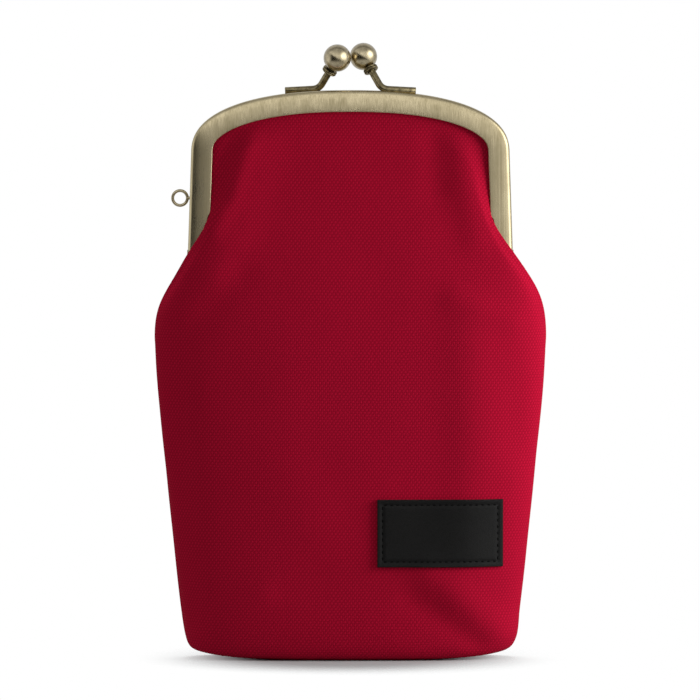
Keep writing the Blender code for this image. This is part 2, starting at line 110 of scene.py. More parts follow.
def arch_place(angle):
    """A point on the arch's outer edge and the direction straight out of it, both as (x, z)."""
    cosine, sine = math.cos(angle), math.sin(angle)
    x = ARCH_HALF_WIDTH * math.copysign(abs(cosine) ** (2 / ARCH_POWER_X), cosine)
    rise = ARCH_RISE * abs(sine) ** (2 / ARCH_POWER_Z)
    slope_x = (abs(x) / ARCH_HALF_WIDTH) ** (ARCH_POWER_X - 1) * ARCH_POWER_X / ARCH_HALF_WIDTH
    slope_z = (rise / ARCH_RISE) ** (ARCH_POWER_Z - 1) * ARCH_POWER_Z / ARCH_RISE
    out = Vector((math.copysign(slope_x, x), slope_z)).normalized()
    return Vector((x, ARCH_BASE_Z + rise)), out


def arch_point(angle, inset):
    """The same point moved inwards, as (x, z)."""
    point, out = arch_place(angle)
    return point - inset * out


# %% [markdown]
# ## Two ways to write less
#
# A piece is finished the same way each time: it is shaded smooth with its sharp edges kept, it gets its
# material and it is told which part of the pouch it moves with. That is one function.
#
# Shader maths is easier to read as an expression than as a chain of nodes. The small class below wraps a
# node's output, and Python's own operators then add the Math nodes.

# %% Helpers that every piece uses
def mix(a, b, share):
    """The value a share of the way from a to b."""
    return a + (b - a) * share


def linked(name, data):
    """A new object at the origin of the scene."""
    thing = bpy.data.objects.new(name, data)
    scene.collection.objects.link(thing)
    return thing


def object_of(name, work):
    """Turns a bmesh into an object."""
    mesh = bpy.data.meshes.new(name)
    work.to_mesh(mesh)
    work.free()
    return linked(name, mesh)


def baked(thing):
    """Applies a piece's modifiers."""
    bpy.context.view_layer.update()
    mesh = bpy.data.meshes.new_from_object(thing.evaluated_get(bpy.context.evaluated_depsgraph_get()))
    thing.modifiers.clear()
    thing.data = mesh
    return thing


def finish_piece(thing, material, body=None, stands_for=(), sharp=40):
    """Gives a piece its look, the body that it rides on and the plain pieces that it stands for."""
    thing.data.materials.clear()
    thing.data.materials.append(material)
    thing.data.shade_smooth()
    if sharp:
        thing.data.set_sharp_from_angle(angle=math.radians(sharp))
    if body:
        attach(thing, body)
    if stands_for:
        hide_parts(*stands_for)
    print(f"{thing.name}: {len(thing.data.polygons)} faces")
    return thing


def outwards(work):
    """Merges what coincides and turns every face outwards."""
    bmesh.ops.remove_doubles(work, verts=work.verts, dist=1e-7)
    bmesh.ops.recalc_face_normals(work, faces=work.faces)


def standing(place, direction):
    """The matrix that stands a piece in a place, with its z axis along a direction."""
    return Matrix.Translation(place) @ direction.to_track_quat("Z", "Y").to_matrix().to_4x4()


def verts_of(geometry):
    """The vertices among what an operator returns."""
    return [piece for piece in geometry if isinstance(piece, bmesh.types.BMVert)]


# %% Shader maths as Python expressions
class Socket:
    """A node's output, on which operators add Math nodes."""

    def __init__(self, nodes, link):
        self.nodes = nodes
        self.link = link

    def maths(self, operation, *values):
        return self.nodes.add("ShaderNodeMath", {"operation": operation}, dict(enumerate(values)))

    def __add__(self, other):
        return self.maths("ADD", self, other)

    def __sub__(self, other):
        return self.maths("SUBTRACT", self, other)

    def __rsub__(self, other):
        return self.maths("SUBTRACT", other, self)

    def __mul__(self, other):
        return self.maths("MULTIPLY", self, other)

    def __pow__(self, other):
        return self.maths("POWER", self, other)

    def __abs__(self):
        return self.maths("ABSOLUTE", self)

    __radd__ = __add__
    __rmul__ = __mul__

    def sine(self):
        return self.maths("SINE", self)

    def at_least(self, other):
        return self.maths("MAXIMUM", self, other)

    def ramp(self, low, high):
        """0 below low, 1 above high and a smooth rise between."""
        settings = {"interpolation_type": "SMOOTHSTEP"}
        return self.nodes.add("ShaderNodeMapRange", settings, {0: self, 1: low, 2: high, 3: 0.0, 4: 1.0})


class Nodes:
    """A node tree that is being built."""

    def __init__(self, tree):
        tree.nodes.clear()
        self.tree = tree

    def add(self, kind, settings=None, inputs=None, output=0):
        """Adds a node, its settings first and then the values or links of its sockets."""
        made = self.tree.nodes.new(kind)
        for name, value in (settings or {}).items():
            setattr(made, name, value)
        for key, value in (inputs or {}).items():
            if isinstance(value, Socket):
                self.tree.links.new(value.link, made.inputs[key])
            else:
                made.inputs[key].default_value = value
        return Socket(self, made.outputs[output]) if len(made.outputs) else made

    def mix(self, share, first, second):
        """Mixes two colours."""
        first, second = ((*c, 1) if isinstance(c, tuple) else c for c in (first, second))
        return self.add("ShaderNodeMix", {"data_type": "RGBA"}, {0: share, 6: first, 7: second}, 2)

    def vector_maths(self, operation, *values, **named):
        """Vector Math, for places."""
        values = {**dict(enumerate(values)), **named}
        return self.add("ShaderNodeVectorMath", {"operation": operation}, values)

    def axis(self, vector, number):
        """One of a vector's three numbers."""
        return self.add("ShaderNodeSeparateXYZ", {}, {"Vector": vector}, number)

    def noise(self, vector, scale, detail=2.0, roughness=0.5):
        """Noise as a number around a half."""
        values = {"Vector": vector, "Scale": scale, "Detail": detail, "Roughness": roughness}
        return self.add("ShaderNodeTexNoise", {}, values)

    def twist(self, vector, scale, distortion=0.0):
        """The slanting bands of something twisted."""
        values = {"Vector": vector, "Scale": scale, "Distortion": distortion}
        return self.add("ShaderNodeTexWave", {"bands_direction": "DIAGONAL"}, values, "Fac")

    def stretched(self, vector, scale):
        """A vector with each of its axes scaled."""
        return self.add("ShaderNodeMapping", {}, {"Vector": vector, "Scale": scale})

    def place(self):
        """The piece's own coordinates."""
        return self.add("ShaderNodeTexCoord", {}, {}, "Object")

    def bump(self, height, distance, strength=1.0):
        values = {"Height": height, "Distance": distance, "Strength": strength}
        return self.add("ShaderNodeBump", {}, values)

    def surface(self, colour, **sockets):
        """The Principled shader and the material's output. A name's underscores stand for spaces."""
        values = {name.replace("_", " "): value for name, value in sockets.items()}
        values["Base Color"] = (*colour, 1) if isinstance(colour, tuple) else colour
        shader = self.add("ShaderNodeBsdfPrincipled", {}, values)
        self.add("ShaderNodeOutputMaterial", {}, {"Surface": shader})


def material(name):
    """A new material and its empty node tree."""
    made = bpy.data.materials.new(name)
    made.use_nodes = True
    print("look:", name)
    return made, Nodes(made.node_tree)


# %% [markdown]
# ## Antique brass
#
# The frame is plated steel, brushed up and down and then lacquered: the brush leaves hair lines along the
# legs and across the arch, and the antique tone gathers in faint clouds. One way would be an anisotropic
# shader, which needs a tangent for each piece. Stretched noise is simpler and holds at any distance: the
# same streaks darken the colour, change the roughness and lift the surface by a hair.
#
# Small parts are barrel finished and not brushed, so they have soft spots in place of the lines. The balls
# are a deeper brass under a glossy lacquer, and the wires and collars are a much darker brass, nearly brown.

# %% Brushed and polished brass
BRASS_LIGHT = (0.68, 0.58, 0.37)
BRASS_DARK = (0.42, 0.35, 0.20)
POLISHED_LIGHT = (0.58, 0.49, 0.31)
POLISHED_DARK = (0.34, 0.28, 0.16)
WIRE_LIGHT = (0.36, 0.30, 0.165)
WIRE_DARK = (0.08, 0.064, 0.034)
BRUSH_LINES_PER_METRE = 4600
BRUSH_LINE_STRETCH = 0.004
BRUSH_LINE_DEPTH = 0.012 * MM
SPOTS_PER_METRE = 900
SPOT_DEPTH = 0.003 * MM
CLOUDS_PER_METRE = 160


def brass(name, brushed, roughness, dark, light, coat):
    made, nodes = material(name)
    place = nodes.place()
    clouds = nodes.noise(place, CLOUDS_PER_METRE, 3.0, 0.6)
    if brushed:
        lines = nodes.stretched(place, (1.0, 1.0, BRUSH_LINE_STRETCH))
        fine = nodes.noise(lines, BRUSH_LINES_PER_METRE, 2.0, 0.6)
        broad = nodes.noise(lines, BRUSH_LINES_PER_METRE / 6, 2.0, 0.5)
        streaks, depth = fine * 0.7 + broad * 0.3, BRUSH_LINE_DEPTH
    else:
        streaks, depth = nodes.noise(place, SPOTS_PER_METRE, 3.0, 0.6), SPOT_DEPTH
    tone = (streaks * 0.7 + clouds * 0.3).ramp(0.28, 0.68)
    nodes.surface(
        nodes.mix(tone, dark, light), Metallic=1.0, Roughness=(1 - tone) * 0.10 + roughness,
        Normal=nodes.bump(streaks, depth, 0.5), Coat_Weight=coat, Coat_Roughness=0.15,
    )
    return made


brushed_brass = brass("brushed_brass", True, 0.25, BRASS_DARK, BRASS_LIGHT, 0.05)
polished_brass = brass("polished_brass", False, 0.22, POLISHED_DARK, POLISHED_LIGHT, 1.0)
wire_brass = brass("wire_brass", False, 0.32, WIRE_DARK, WIRE_LIGHT, 0.05)

# %% [markdown]
# ## The frame halves
#
# A purse frame is pressed from sheet: each half is a channel, open towards the inside, with a rounded outer
# corner and a thin inner lip. The cloth is pushed into that channel. The real press also leaves the face
# slightly crowned, so its outer edge lies a little further back, and that is what makes one leg shine while
# the other stays dark.
#
# It could be a curve with a bevel object, but then the corners' rounding has to be drawn as points. Here
# the section is a polygon of ten corners, bevelled at its corners, and bmesh extrudes its edges from
# station to station along the outline.

# %% A section that is swept from station to station
FACE_CROWN = 0.8 * MM
FACE_RIDGE = 0.36 * MM
RIDGE_INSET = 1.7 * MM
OUTER_CORNER = 0.9 * MM
RIDGE_CORNER = 0.7 * MM
LIP_CORNER = 0.25 * MM
BEND_CORNER = 0.3 * MM
ARCH_STATIONS = 84
LEG_STATIONS = 8


def channel_section():
    """The channel's section in the XY plane: x runs inwards from the frame's outer edge, and y forwards."""
    back, face = HALF_GAP / 2, FACE_Y
    inner_face = face - SHEET
    rounded_corners = (
        (REAR_WIDTH, back, LIP_CORNER),
        (0, back, BEND_CORNER),
        (0, face - FACE_CROWN, OUTER_CORNER),
        (RIDGE_INSET, face - FACE_RIDGE, RIDGE_CORNER),
        (FACE_WIDTH, face, LIP_CORNER),
        (FACE_WIDTH, inner_face, LIP_CORNER),
        (RIDGE_INSET, inner_face - FACE_RIDGE, RIDGE_CORNER),
        (SHEET, inner_face - FACE_CROWN, BEND_CORNER),
        (SHEET, back + SHEET, BEND_CORNER),
        (REAR_WIDTH, back + SHEET, LIP_CORNER),
    )
    work = bmesh.new()
    corners = [work.verts.new((x, y, 0)) for x, y, _ in rounded_corners]
    work.faces.new(corners)
    for corner, (_, _, radius) in zip(corners, rounded_corners):
        bmesh.ops.bevel(
            work, geom=[corner], offset=radius, offset_type="OFFSET", segments=5, profile=0.5,
            affect="VERTICES", clamp_overlap=False, material=-1,
        )
    bmesh.ops.delete(work, geom=work.faces[:], context="FACES_ONLY")
    return work


def sweep(work, stations):
    """Extrudes the closed section in work from the first station to the last, and closes both ends."""
    bmesh.ops.transform(work, matrix=stations[0], verts=work.verts)
    edges = work.edges[:]
    bmesh.ops.contextual_create(work, geom=edges)
    for before, after in zip(stations, stations[1:]):
        grown = bmesh.ops.extrude_edge_only(work, edges=edges)["geom"]
        verts = verts_of(grown)
        moved = set(verts)
        edges = [e for e in grown if isinstance(e, bmesh.types.BMEdge) and set(e.verts) <= moved]
        bmesh.ops.transform(work, matrix=after @ before.inverted(), verts=verts)
    bmesh.ops.contextual_create(work, geom=edges)
    outwards(work)


def frame_station(point, out, side):
    """Where the section stands at a point of the outline: its x points inwards and its y out of the face."""
    inwards = Vector((-out.x, 0, -out.y))
    forwards = Vector((0, side, 0))
    along = inwards.cross(forwards)
    turned = Matrix((inwards, forwards, along)).transposed().to_4x4()
    return Matrix.Translation((point.x, 0, point.y)) @ turned


def frame_stations(side):
    """Stations from the foot of the left leg over the arch to the foot of the right one."""
    heights = [mix(LEG_END_Z, ARCH_BASE_Z, k / LEG_STATIONS) for k in range(LEG_STATIONS)]
    left = [(Vector((-leg_x(z), z)), Vector((-1, 0))) for z in heights]
    right = [(Vector((leg_x(z), z)), Vector((1, 0))) for z in reversed(heights)]
    arch = [arch_place(math.pi * (1 - k / ARCH_STATIONS)) for k in range(ARCH_STATIONS + 1)]
    return [frame_station(point, out, side) for point, out in (*left, *arch, *right)]


# %% [markdown]
# Each leg ends in an ear, a round tab with a hole for the rivet. The back half's ears are set inwards by
# one sheet, so that the two halves turn past each other. The ears are flat plates cut from an outline: an
# arc made by spinning one vertex, closed with a neck, and extruded by the sheet's thickness. A Boolean
# joins them to the channel, as nothing else gives one clean skin where a plate runs into a channel.

# %% Ears, and the Booleans that join and cut
EAR_SHEET = 0.8 * MM
EAR_PROUD = 0.1 * MM
EAR_NECK_WIDTH = 3.6 * MM
EAR_NECK_Y = HALF_GAP / 2 + HINGE_CLEARANCE
EAR_ROOT = 0.4 * MM
EAR_TIP_ANGLE = math.radians(60)
EAR_ARC = math.radians(250)
JOGGLE_HEIGHT = 2.3 * MM
RIVET_HOLE_RADIUS = 1.1 * MM


def ear(side, x_from, x_to):
    """A flat ear between two places across the pouch."""
    work = bmesh.new()
    neck_top = LEG_END_Z + JOGGLE_HEIGHT
    tip_y, tip_z = EAR_RADIUS * math.cos(EAR_TIP_ANGLE), EAR_RADIUS * math.sin(EAR_TIP_ANGLE)
    tip = work.verts.new((x_from, -side * tip_y, HINGE_Z + tip_z))
    arc = bmesh.ops.spin(
        work, geom=[tip], cent=(x_from, 0, HINGE_Z), axis=(1, 0, 0), angle=side * EAR_ARC, steps=36,
        use_duplicate=False,
    )["geom_last"]
    last = verts_of(arc)[0]
    near, far = EAR_NECK_Y, EAR_NECK_Y + EAR_NECK_WIDTH
    neck_corners = (
        (far, LEG_END_Z - EAR_ROOT / 2), (far, neck_top), (near, neck_top), (near, LEG_END_Z - EAR_ROOT),
    )
    neck = [work.verts.new((x_from, side * y, z)) for y, z in neck_corners]
    for first, second in zip([last, *neck], [*neck, tip]):
        work.edges.new((first, second))
    bmesh.ops.contextual_create(work, geom=work.edges[:])
    grown = bmesh.ops.extrude_face_region(work, geom=work.faces[:])["geom"]
    bmesh.ops.translate(work, vec=(x_to - x_from, 0, 0), verts=verts_of(grown))
    outwards(work)
    return object_of("ear", work)


def block(centre, size):
    """A plain box that joins the back half's ear to its channel."""
    work = bmesh.new()
    bmesh.ops.create_cube(work, size=1, matrix=Matrix.Translation(centre) @ Matrix.Diagonal((*size, 1)))
    return object_of("block", work)


def rod_between(start, end, radius, sides=48):
    """A closed cylinder from one point to another."""
    work = bmesh.new()
    start, end = Vector(start), Vector(end)
    bmesh.ops.create_cone(
        work, cap_ends=True, segments=sides, radius1=radius, radius2=radius, depth=(end - start).length,
        matrix=standing((start + end) / 2, end - start),
    )
    return object_of("rod", work)


def combined(thing, steps):
    """Applies Booleans, each given as (operation, other object), and removes the other objects."""
    for operation, other in steps:
        step = thing.modifiers.new(operation.lower(), "BOOLEAN")
        step.operation = operation
        step.solver = "EXACT"
        step.object = other
    baked(thing)
    for _, other in steps:
        bpy.data.objects.remove(other, do_unlink=True)
    return thing


def ear_span(side):
    """How far from the middle an ear starts and ends: the back half's is inside the front half's."""
    outer = leg_x(LEG_END_Z) + EAR_PROUD
    if side == BACK:
        outer -= EAR_SHEET + HINGE_CLEARANCE
    return outer - EAR_SHEET, outer


# %% The two halves
EYE_Z = 128.8 * MM
EYE_HOLE_RADIUS = 0.65 * MM
CUTTER_MARGIN = 1 * MM


def frame_half(name, side, body, stands_for):
    section = channel_section()
    sweep(section, frame_stations(side))
    half = object_of(name, section)
    steps = []
    near, far = ear_span(side)
    for hand in (LEFT, RIGHT):
        steps.append(("UNION", ear(side, hand * near, hand * far)))
        if side == BACK:
            reach = EAR_SHEET + HINGE_CLEARANCE
            centre = (
                hand * (leg_x(LEG_END_Z) - reach / 2 - SHEET / 2),
                EAR_NECK_Y + EAR_NECK_WIDTH / 2,
                LEG_END_Z + EAR_PROUD + JOGGLE_HEIGHT / 2,
            )
            steps.append(("UNION", block(centre, (reach, EAR_NECK_WIDTH + 2 * EAR_PROUD, JOGGLE_HEIGHT))))
    across = leg_x(HINGE_Z) + CUTTER_MARGIN
    steps.append(("DIFFERENCE", rod_between((-across, 0, HINGE_Z), (across, 0, HINGE_Z), RIVET_HOLE_RADIUS)))
    if side == BACK:
        wall, middle_y = leg_x(EYE_Z), (HALF_GAP / 2 + FACE_Y) / 2
        start = (-wall - CUTTER_MARGIN, middle_y, EYE_Z)
        end = (-wall + SHEET + CUTTER_MARGIN, middle_y, EYE_Z)
        steps.append(("DIFFERENCE", rod_between(start, end, EYE_HOLE_RADIUS)))
    combined(half, steps)
    return finish_piece(half, brushed_brass, body, [stands_for], 32)


frame_half("front_frame_pressed", FRONT, "front_half", "front_frame")
frame_half("back_frame_pressed", BACK, "back_half", "back_frame")

# %% [markdown]
# ## Rivets, balls and collars
#
# Everything turned starts as a profile, a few edges in one plane, that is spun about its axis. A lathe
# works the same way, so the corners of a profile are where the turner's tool would stop. The rivets have a
# domed head outside and a peened one inside.

# %% A lathe
def lathe(name, profile, place, steps=64):
    """Spins (radius, height) points about their axis and stands the result in its place."""
    work = bmesh.new()
    knots = [work.verts.new((radius, 0, height)) for radius, height in profile]
    edges = [work.edges.new(pair) for pair in zip(knots, knots[1:])]
    bmesh.ops.spin(
        work, geom=[*knots, *edges], cent=(0, 0, 0), axis=(0, 0, 1), angle=math.tau, steps=steps,
        use_merge=True,
    )
    outwards(work)
    bmesh.ops.transform(work, matrix=place, verts=work.verts)
    return object_of(name, work)


def round_profile(centre_r, centre_h, radius, start, end, steps):
    """Points along an arc of a profile, with its angles in degrees from the axis's own direction."""
    points = []
    for k in range(steps + 1):
        angle = math.radians(start + (end - start) * k / steps)
        points.append((centre_r + radius * math.sin(angle), centre_h + radius * math.cos(angle)))
    return points


# %% Rivets
RIVET_RADIUS = 0.9 * MM
RIVET_HEAD_RADIUS = 1.8 * MM
RIVET_HEAD_HEIGHT = 0.7 * MM
PEEN_RADIUS = 1.53 * MM
PEEN_HEIGHT = 0.49 * MM


def dome(radius, height, base, degrees):
    """A quarter of an ellipse on a base height, as profile points at angles from the axis."""
    turns = [math.radians(angle) for angle in degrees]
    return [(radius * math.sin(turn), base + height * math.cos(turn)) for turn in turns]


def rivet(name, hand, stands_for):
    outer = ear_span(FRONT)[1] + HINGE_CLEARANCE / 2
    inner = ear_span(BACK)[0] - HINGE_CLEARANCE / 2
    head = dome(RIVET_HEAD_RADIUS, RIVET_HEAD_HEIGHT, outer, range(0, 91, 10))
    peen = dome(PEEN_RADIUS, -PEEN_HEIGHT, inner, range(90, -1, -15))
    profile = [*head, (RIVET_RADIUS, outer), (RIVET_RADIUS, inner), *peen]
    place = Matrix.Translation((0, 0, HINGE_Z)) @ Matrix.Rotation(hand * math.pi / 2, 4, "Y")
    finish_piece(lathe(name, profile, place, 40), polished_brass, "front_half", [stands_for])


rivet("left_rivet_turned", LEFT, "left_hinge_rivet")
rivet("right_rivet_turned", RIGHT, "right_hinge_rivet")

# %% [markdown]
# ## The ball clasps
#
# Each half carries a bent wire, brazed along its top. The wire rises, turns and ends in a ball, and a
# collar sits just under the ball. The two wires cross, so that the balls snap past each other.
#
# The wire's middle line is two straight runs and an arc. It is swept like the frame, with a circle for its
# section, and the stations keep the circle square to the line. The rod's free end is cut square, with the
# edge just broken.

# %% The wire of a clasp
CLASP_WIRE_RADIUS = 1 * MM
ROD_END_X = 18.3 * MM
ROD_BEND_X = 8.8 * MM
ROD_TILT = math.radians(3)
ROD_SEAT = -0.5 * MM
BEND_RADIUS = 3.4 * MM
BROKEN_EDGE = 0.12 * MM
BALL_X = 3.66 * MM


def frame_top_z(x):
    """Height of the frame's outer edge at a place across the arch."""
    return ARCH_BASE_Z + ARCH_RISE * (1 - (abs(x) / ARCH_HALF_WIDTH) ** ARCH_POWER_X) ** (1 / ARCH_POWER_Z)


def rod_z():
    """Height of the rod's middle line at its bend, where the tilted rod just clears the frame all along."""
    heights = []
    for k in range(9):
        x = ROD_BEND_X + (ROD_END_X - ROD_BEND_X) * k / 8
        heights.append(frame_top_z(x) + math.tan(ROD_TILT) * (x - ROD_BEND_X))
    return max(heights) + ROD_SEAT + CLASP_WIRE_RADIUS


def ball_of(name):
    """A plain ball's centre and radius, from its box."""
    low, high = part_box(name)
    return (low + high) / 2, (high.x - low.x) / 2


def wire_line(side, hand, ball):
    """The middle line of a clasp's wire, from the rod's free end to the ball, and the stem's direction."""
    rod = Vector((-hand * math.cos(ROD_TILT), 0, math.sin(ROD_TILT)))
    bend = Vector((hand * ROD_BEND_X, side * (HALF_GAP / 2 + FACE_Y) / 2, rod_z()))
    stem = (ball - bend).normalized()
    reach = BEND_RADIUS * math.tan(rod.angle(stem) / 2)
    rod_end = bend - rod * ((ROD_END_X - ROD_BEND_X) / math.cos(ROD_TILT))
    points = [rod_end, rod_end + rod * BROKEN_EDGE]
    turns = 16
    for k in range(turns + 1):
        before = bend - rod * reach * (1 - k / turns)
        after = bend + stem * reach * k / turns
        points.append(before.lerp(after, k / turns))
    return [*points, ball - stem * 2 * MM], stem


def clasp_wire(name, points, body, stands_for):
    """Sweeps a circle along the points; the first station is smaller, for the broken edge."""
    stations = []
    for k, point in enumerate(points):
        before, after = points[max(k - 1, 0)], points[min(k + 1, len(points) - 1)]
        size = CLASP_WIRE_RADIUS - (BROKEN_EDGE if k == 0 else 0)
        stations.append(standing(point, after - before) @ Matrix.Diagonal((size, size, 1, 1)))
    work = bmesh.new()
    bmesh.ops.create_circle(work, cap_ends=False, segments=36, radius=1)
    sweep(work, stations)
    finish_piece(object_of(name, work), wire_brass, body, [stands_for], 50)


# %% [markdown]
# The ball is a sphere with a bore for the wire. The collar is a washer with a groove around its middle, so
# that it looks like two thin rings from the side.

# %% Balls and collars
WIRE_CLEARANCE = 0.2 * MM
COLLAR_RADIUS = 2.1 * MM
COLLAR_THICKNESS = 1.1 * MM
COLLAR_SEAT = 0.3 * MM
BORE_DEPTH = 1.8 * MM


def clasp(name, side, hand, body):
    centre, radius = ball_of(f"{name}_ball")
    centre.x = hand * BALL_X
    points, stem = wire_line(side, hand, centre)
    clasp_wire(f"{name}_wire_bent", points, body, f"{name}_wire")
    stand = standing(centre, stem)

    bore = CLASP_WIRE_RADIUS + WIRE_CLEARANCE
    mouth = 180 - math.degrees(math.asin(bore / radius))
    ball_profile = round_profile(0, 0, radius, 0, mouth, 40)
    ball_profile += [(bore, BORE_DEPTH - radius), (0, BORE_DEPTH - radius)]
    ball = lathe(f"{name}_ball_turned", ball_profile, stand, 96)
    finish_piece(ball, polished_brass, body, [f"{name}_ball"], 50)

    top = -math.sqrt(radius ** 2 - bore ** 2) - COLLAR_SEAT
    bead = COLLAR_THICKNESS / 4
    ring = COLLAR_RADIUS - bead
    collar_profile = [(bore, top)]
    for bead_height in (top - bead, top - 3 * bead):
        collar_profile += round_profile(ring, bead_height, bead, 0, 170, 8)
    collar_profile += [(bore, top - COLLAR_THICKNESS), (bore, top)]
    collar = lathe(f"{name}_collar_turned", collar_profile, stand, 64)
    finish_piece(collar, wire_brass, body, [f"{name}_collar"], 50)
    print(name, "ball radius", round(radius / MM, 2), "mm at height", round(centre.z / MM, 1), "mm")


clasp("front_clasp", FRONT, RIGHT, "front_half")
clasp("back_clasp", BACK, LEFT, "back_half")

# %% [markdown]
# ## The strap eye
#
# A small cast ring stands on the left leg for a strap or a charm. A circle spun about the ring's middle
# gives the ring, and a short shank, joined by a Boolean, goes through the leg's side.

# %% The strap eye
EYE_OUTER_RADIUS = 2.5 * MM
EYE_WIRE_RADIUS = 0.43 * MM
EYE_SHANK_RADIUS = 0.45 * MM
EYE_CLEARANCE = 0.3 * MM

wall = leg_x(EYE_Z)
ring_radius = EYE_OUTER_RADIUS - EYE_WIRE_RADIUS
eye_centre = Vector((-(wall + EYE_CLEARANCE + EYE_OUTER_RADIUS), (HALF_GAP / 2 + FACE_Y) / 2, EYE_Z))
work = bmesh.new()
start = Matrix.Translation(eye_centre + Vector((ring_radius, 0, 0)))
bmesh.ops.create_circle(work, cap_ends=False, segments=20, radius=EYE_WIRE_RADIUS, matrix=start)
bmesh.ops.spin(
    work, geom=work.verts[:] + work.edges[:], cent=eye_centre, axis=(0, 1, 0), angle=math.tau, steps=56,
    use_merge=True,
)
outwards(work)
eye = object_of("strap_eye_ring", work)
shank_start = eye_centre + Vector((ring_radius, 0, 0))
shank_end = Vector((-(wall - SHEET - EYE_CLEARANCE), eye_centre.y, EYE_Z))
combined(eye, [("UNION", rod_between(shank_start, shank_end, EYE_SHANK_RADIUS, 24))])
finish_piece(eye, polished_brass, "back_half", ["strap_eye"], 50)

# %% [markdown]
# ## The shape of the bag
#
# The bag is sewn from a front and a back panel. Each is one sheet: it starts at a seam in the middle of the
# base, turns up into the wall, narrows at the shoulders, passes in front of the frame's legs and goes into
# the channel.
#
# A Subdivision Surface over a coarse cage would give that form. The weave, though, has to know how far each
# point lies along the cloth, in both directions. So the cage's rows and columns guide a cubic spline, which
# is what subdivision comes to in the end, and a fine grid reads its points from it, row by row. Distances
# along the cloth are then sums along the rows and columns.

# %% The cage of the front panel
BASE_HALF_WIDTH = 46.3 * MM
SHOULDER_HALF_WIDTH = 55.6 * MM
SHOULDER_TURN_IN = 0.4 * MM
SHOULDER_Z = 90 * MM
SHOULDER_ROUND = 8 * MM
BASE_HALF_DEPTH = 15.2 * MM
SHOULDER_HALF_DEPTH = 14 * MM
BASE_EDGE = 5 * MM
BASE_CORNER_LIFT = 2.2 * MM
BASE_CORNER_SHRINK = 11 * MM
WALL_CORNER_LIFT = 1.0 * MM
OPENING_STOP_Z = 98.5 * MM
CLOTH_GAP = 0.3 * MM
CLOTH_IN_CHANNEL_Y = FACE_Y - SHEET - CLOTH_GAP
LEG_CLOTH_END_Z = 133 * MM
LEG_CLOTH_RUN = 7.5 * MM
MOUTH_INSET = FACE_WIDTH + 4.2 * MM
CHANNEL_ROWS = ((FACE_WIDTH - 0.6 * MM, 0.4 * MM), (1.4 * MM, 0.3 * MM))

# One entry for each column from the middle to the side seam: shares of the half width and of the half depth
COLUMN_SHARES = ((0.0, 1.0), (0.36, 0.985), (0.65, 0.9), (0.87, 0.72), (0.992, 0.34), (1.0, 0.0))
BASE_LIFT_SHARES = (0.0, 0.0, 0.1, 0.42, 0.88, 1.0)
BASE_ROW_SHARES = (0.0, 0.45, 0.86)
WALL_ROWS = (BASE_EDGE, SHOULDER_Z / 3, SHOULDER_Z * 2 / 3, SHOULDER_Z - SHOULDER_ROUND)
ARCH_ANGLES = (90, 68, 48, 30)
LEG_HEIGHTS = (LEG_CLOTH_END_Z + LEG_CLOTH_RUN, LEG_CLOTH_END_Z)

# Shoulder: shares of the half width and half depth, and of the rise from the opening's end to the legs' feet
SHOULDER_SHARES = (
    (0.000, 0.843, 0.846), (0.362, 0.836, 0.846), (0.634, 0.800, 0.735),
    (0.833, 0.729, 0.550), (0.946, 0.529, 0.280), (1.000, 0.000, 0.000),
)
# Neck: shares of the way from the shoulder to the channel's mouth, and millimetres outwards and forwards
NECK_SHARES = (
    (0.41, 0.405, 0.39, 0.34, 0.29, 0.35),
    (0.75, 0.745, 0.73, 0.66, 0.56, 0.69),
)
NECK_OFFSETS = (
    ((0, -1.2), (0, -1.2), (-1.0, -0.8), (-3.2, 0.4), (-2.5, 2.1), (1.0, 3.7)),
    ((0, -0.9), (1.0, -0.9), (0.7, -0.6), (-2.8, 0), (-3.9, 1.6), (0.4, 2.7)),
)
# Mouth: millimetres forwards of the cloth in the channel, down and outwards
MOUTH_OFFSETS = ((0.4, 0, 0), (0.4, 0, 0), (0.5, 0, 0), (0.8, 1.0, 0), (1.5, 8.5, 0.6), (1.3, 8.8, 3.6))


def half_width(z):
    return mix(BASE_HALF_WIDTH, SHOULDER_HALF_WIDTH, z / SHOULDER_Z)


def half_depth(z):
    return mix(BASE_HALF_DEPTH, SHOULDER_HALF_DEPTH, z / SHOULDER_Z)


def channel_place(column, inset):
    """Where a column meets the frame, moved inwards by inset, as (x, z)."""
    if column < len(ARCH_ANGLES):
        return arch_point(math.radians(ARCH_ANGLES[column]), inset)
    z = LEG_HEIGHTS[column - len(ARCH_ANGLES)]
    return Vector((leg_x(z) - inset, z))


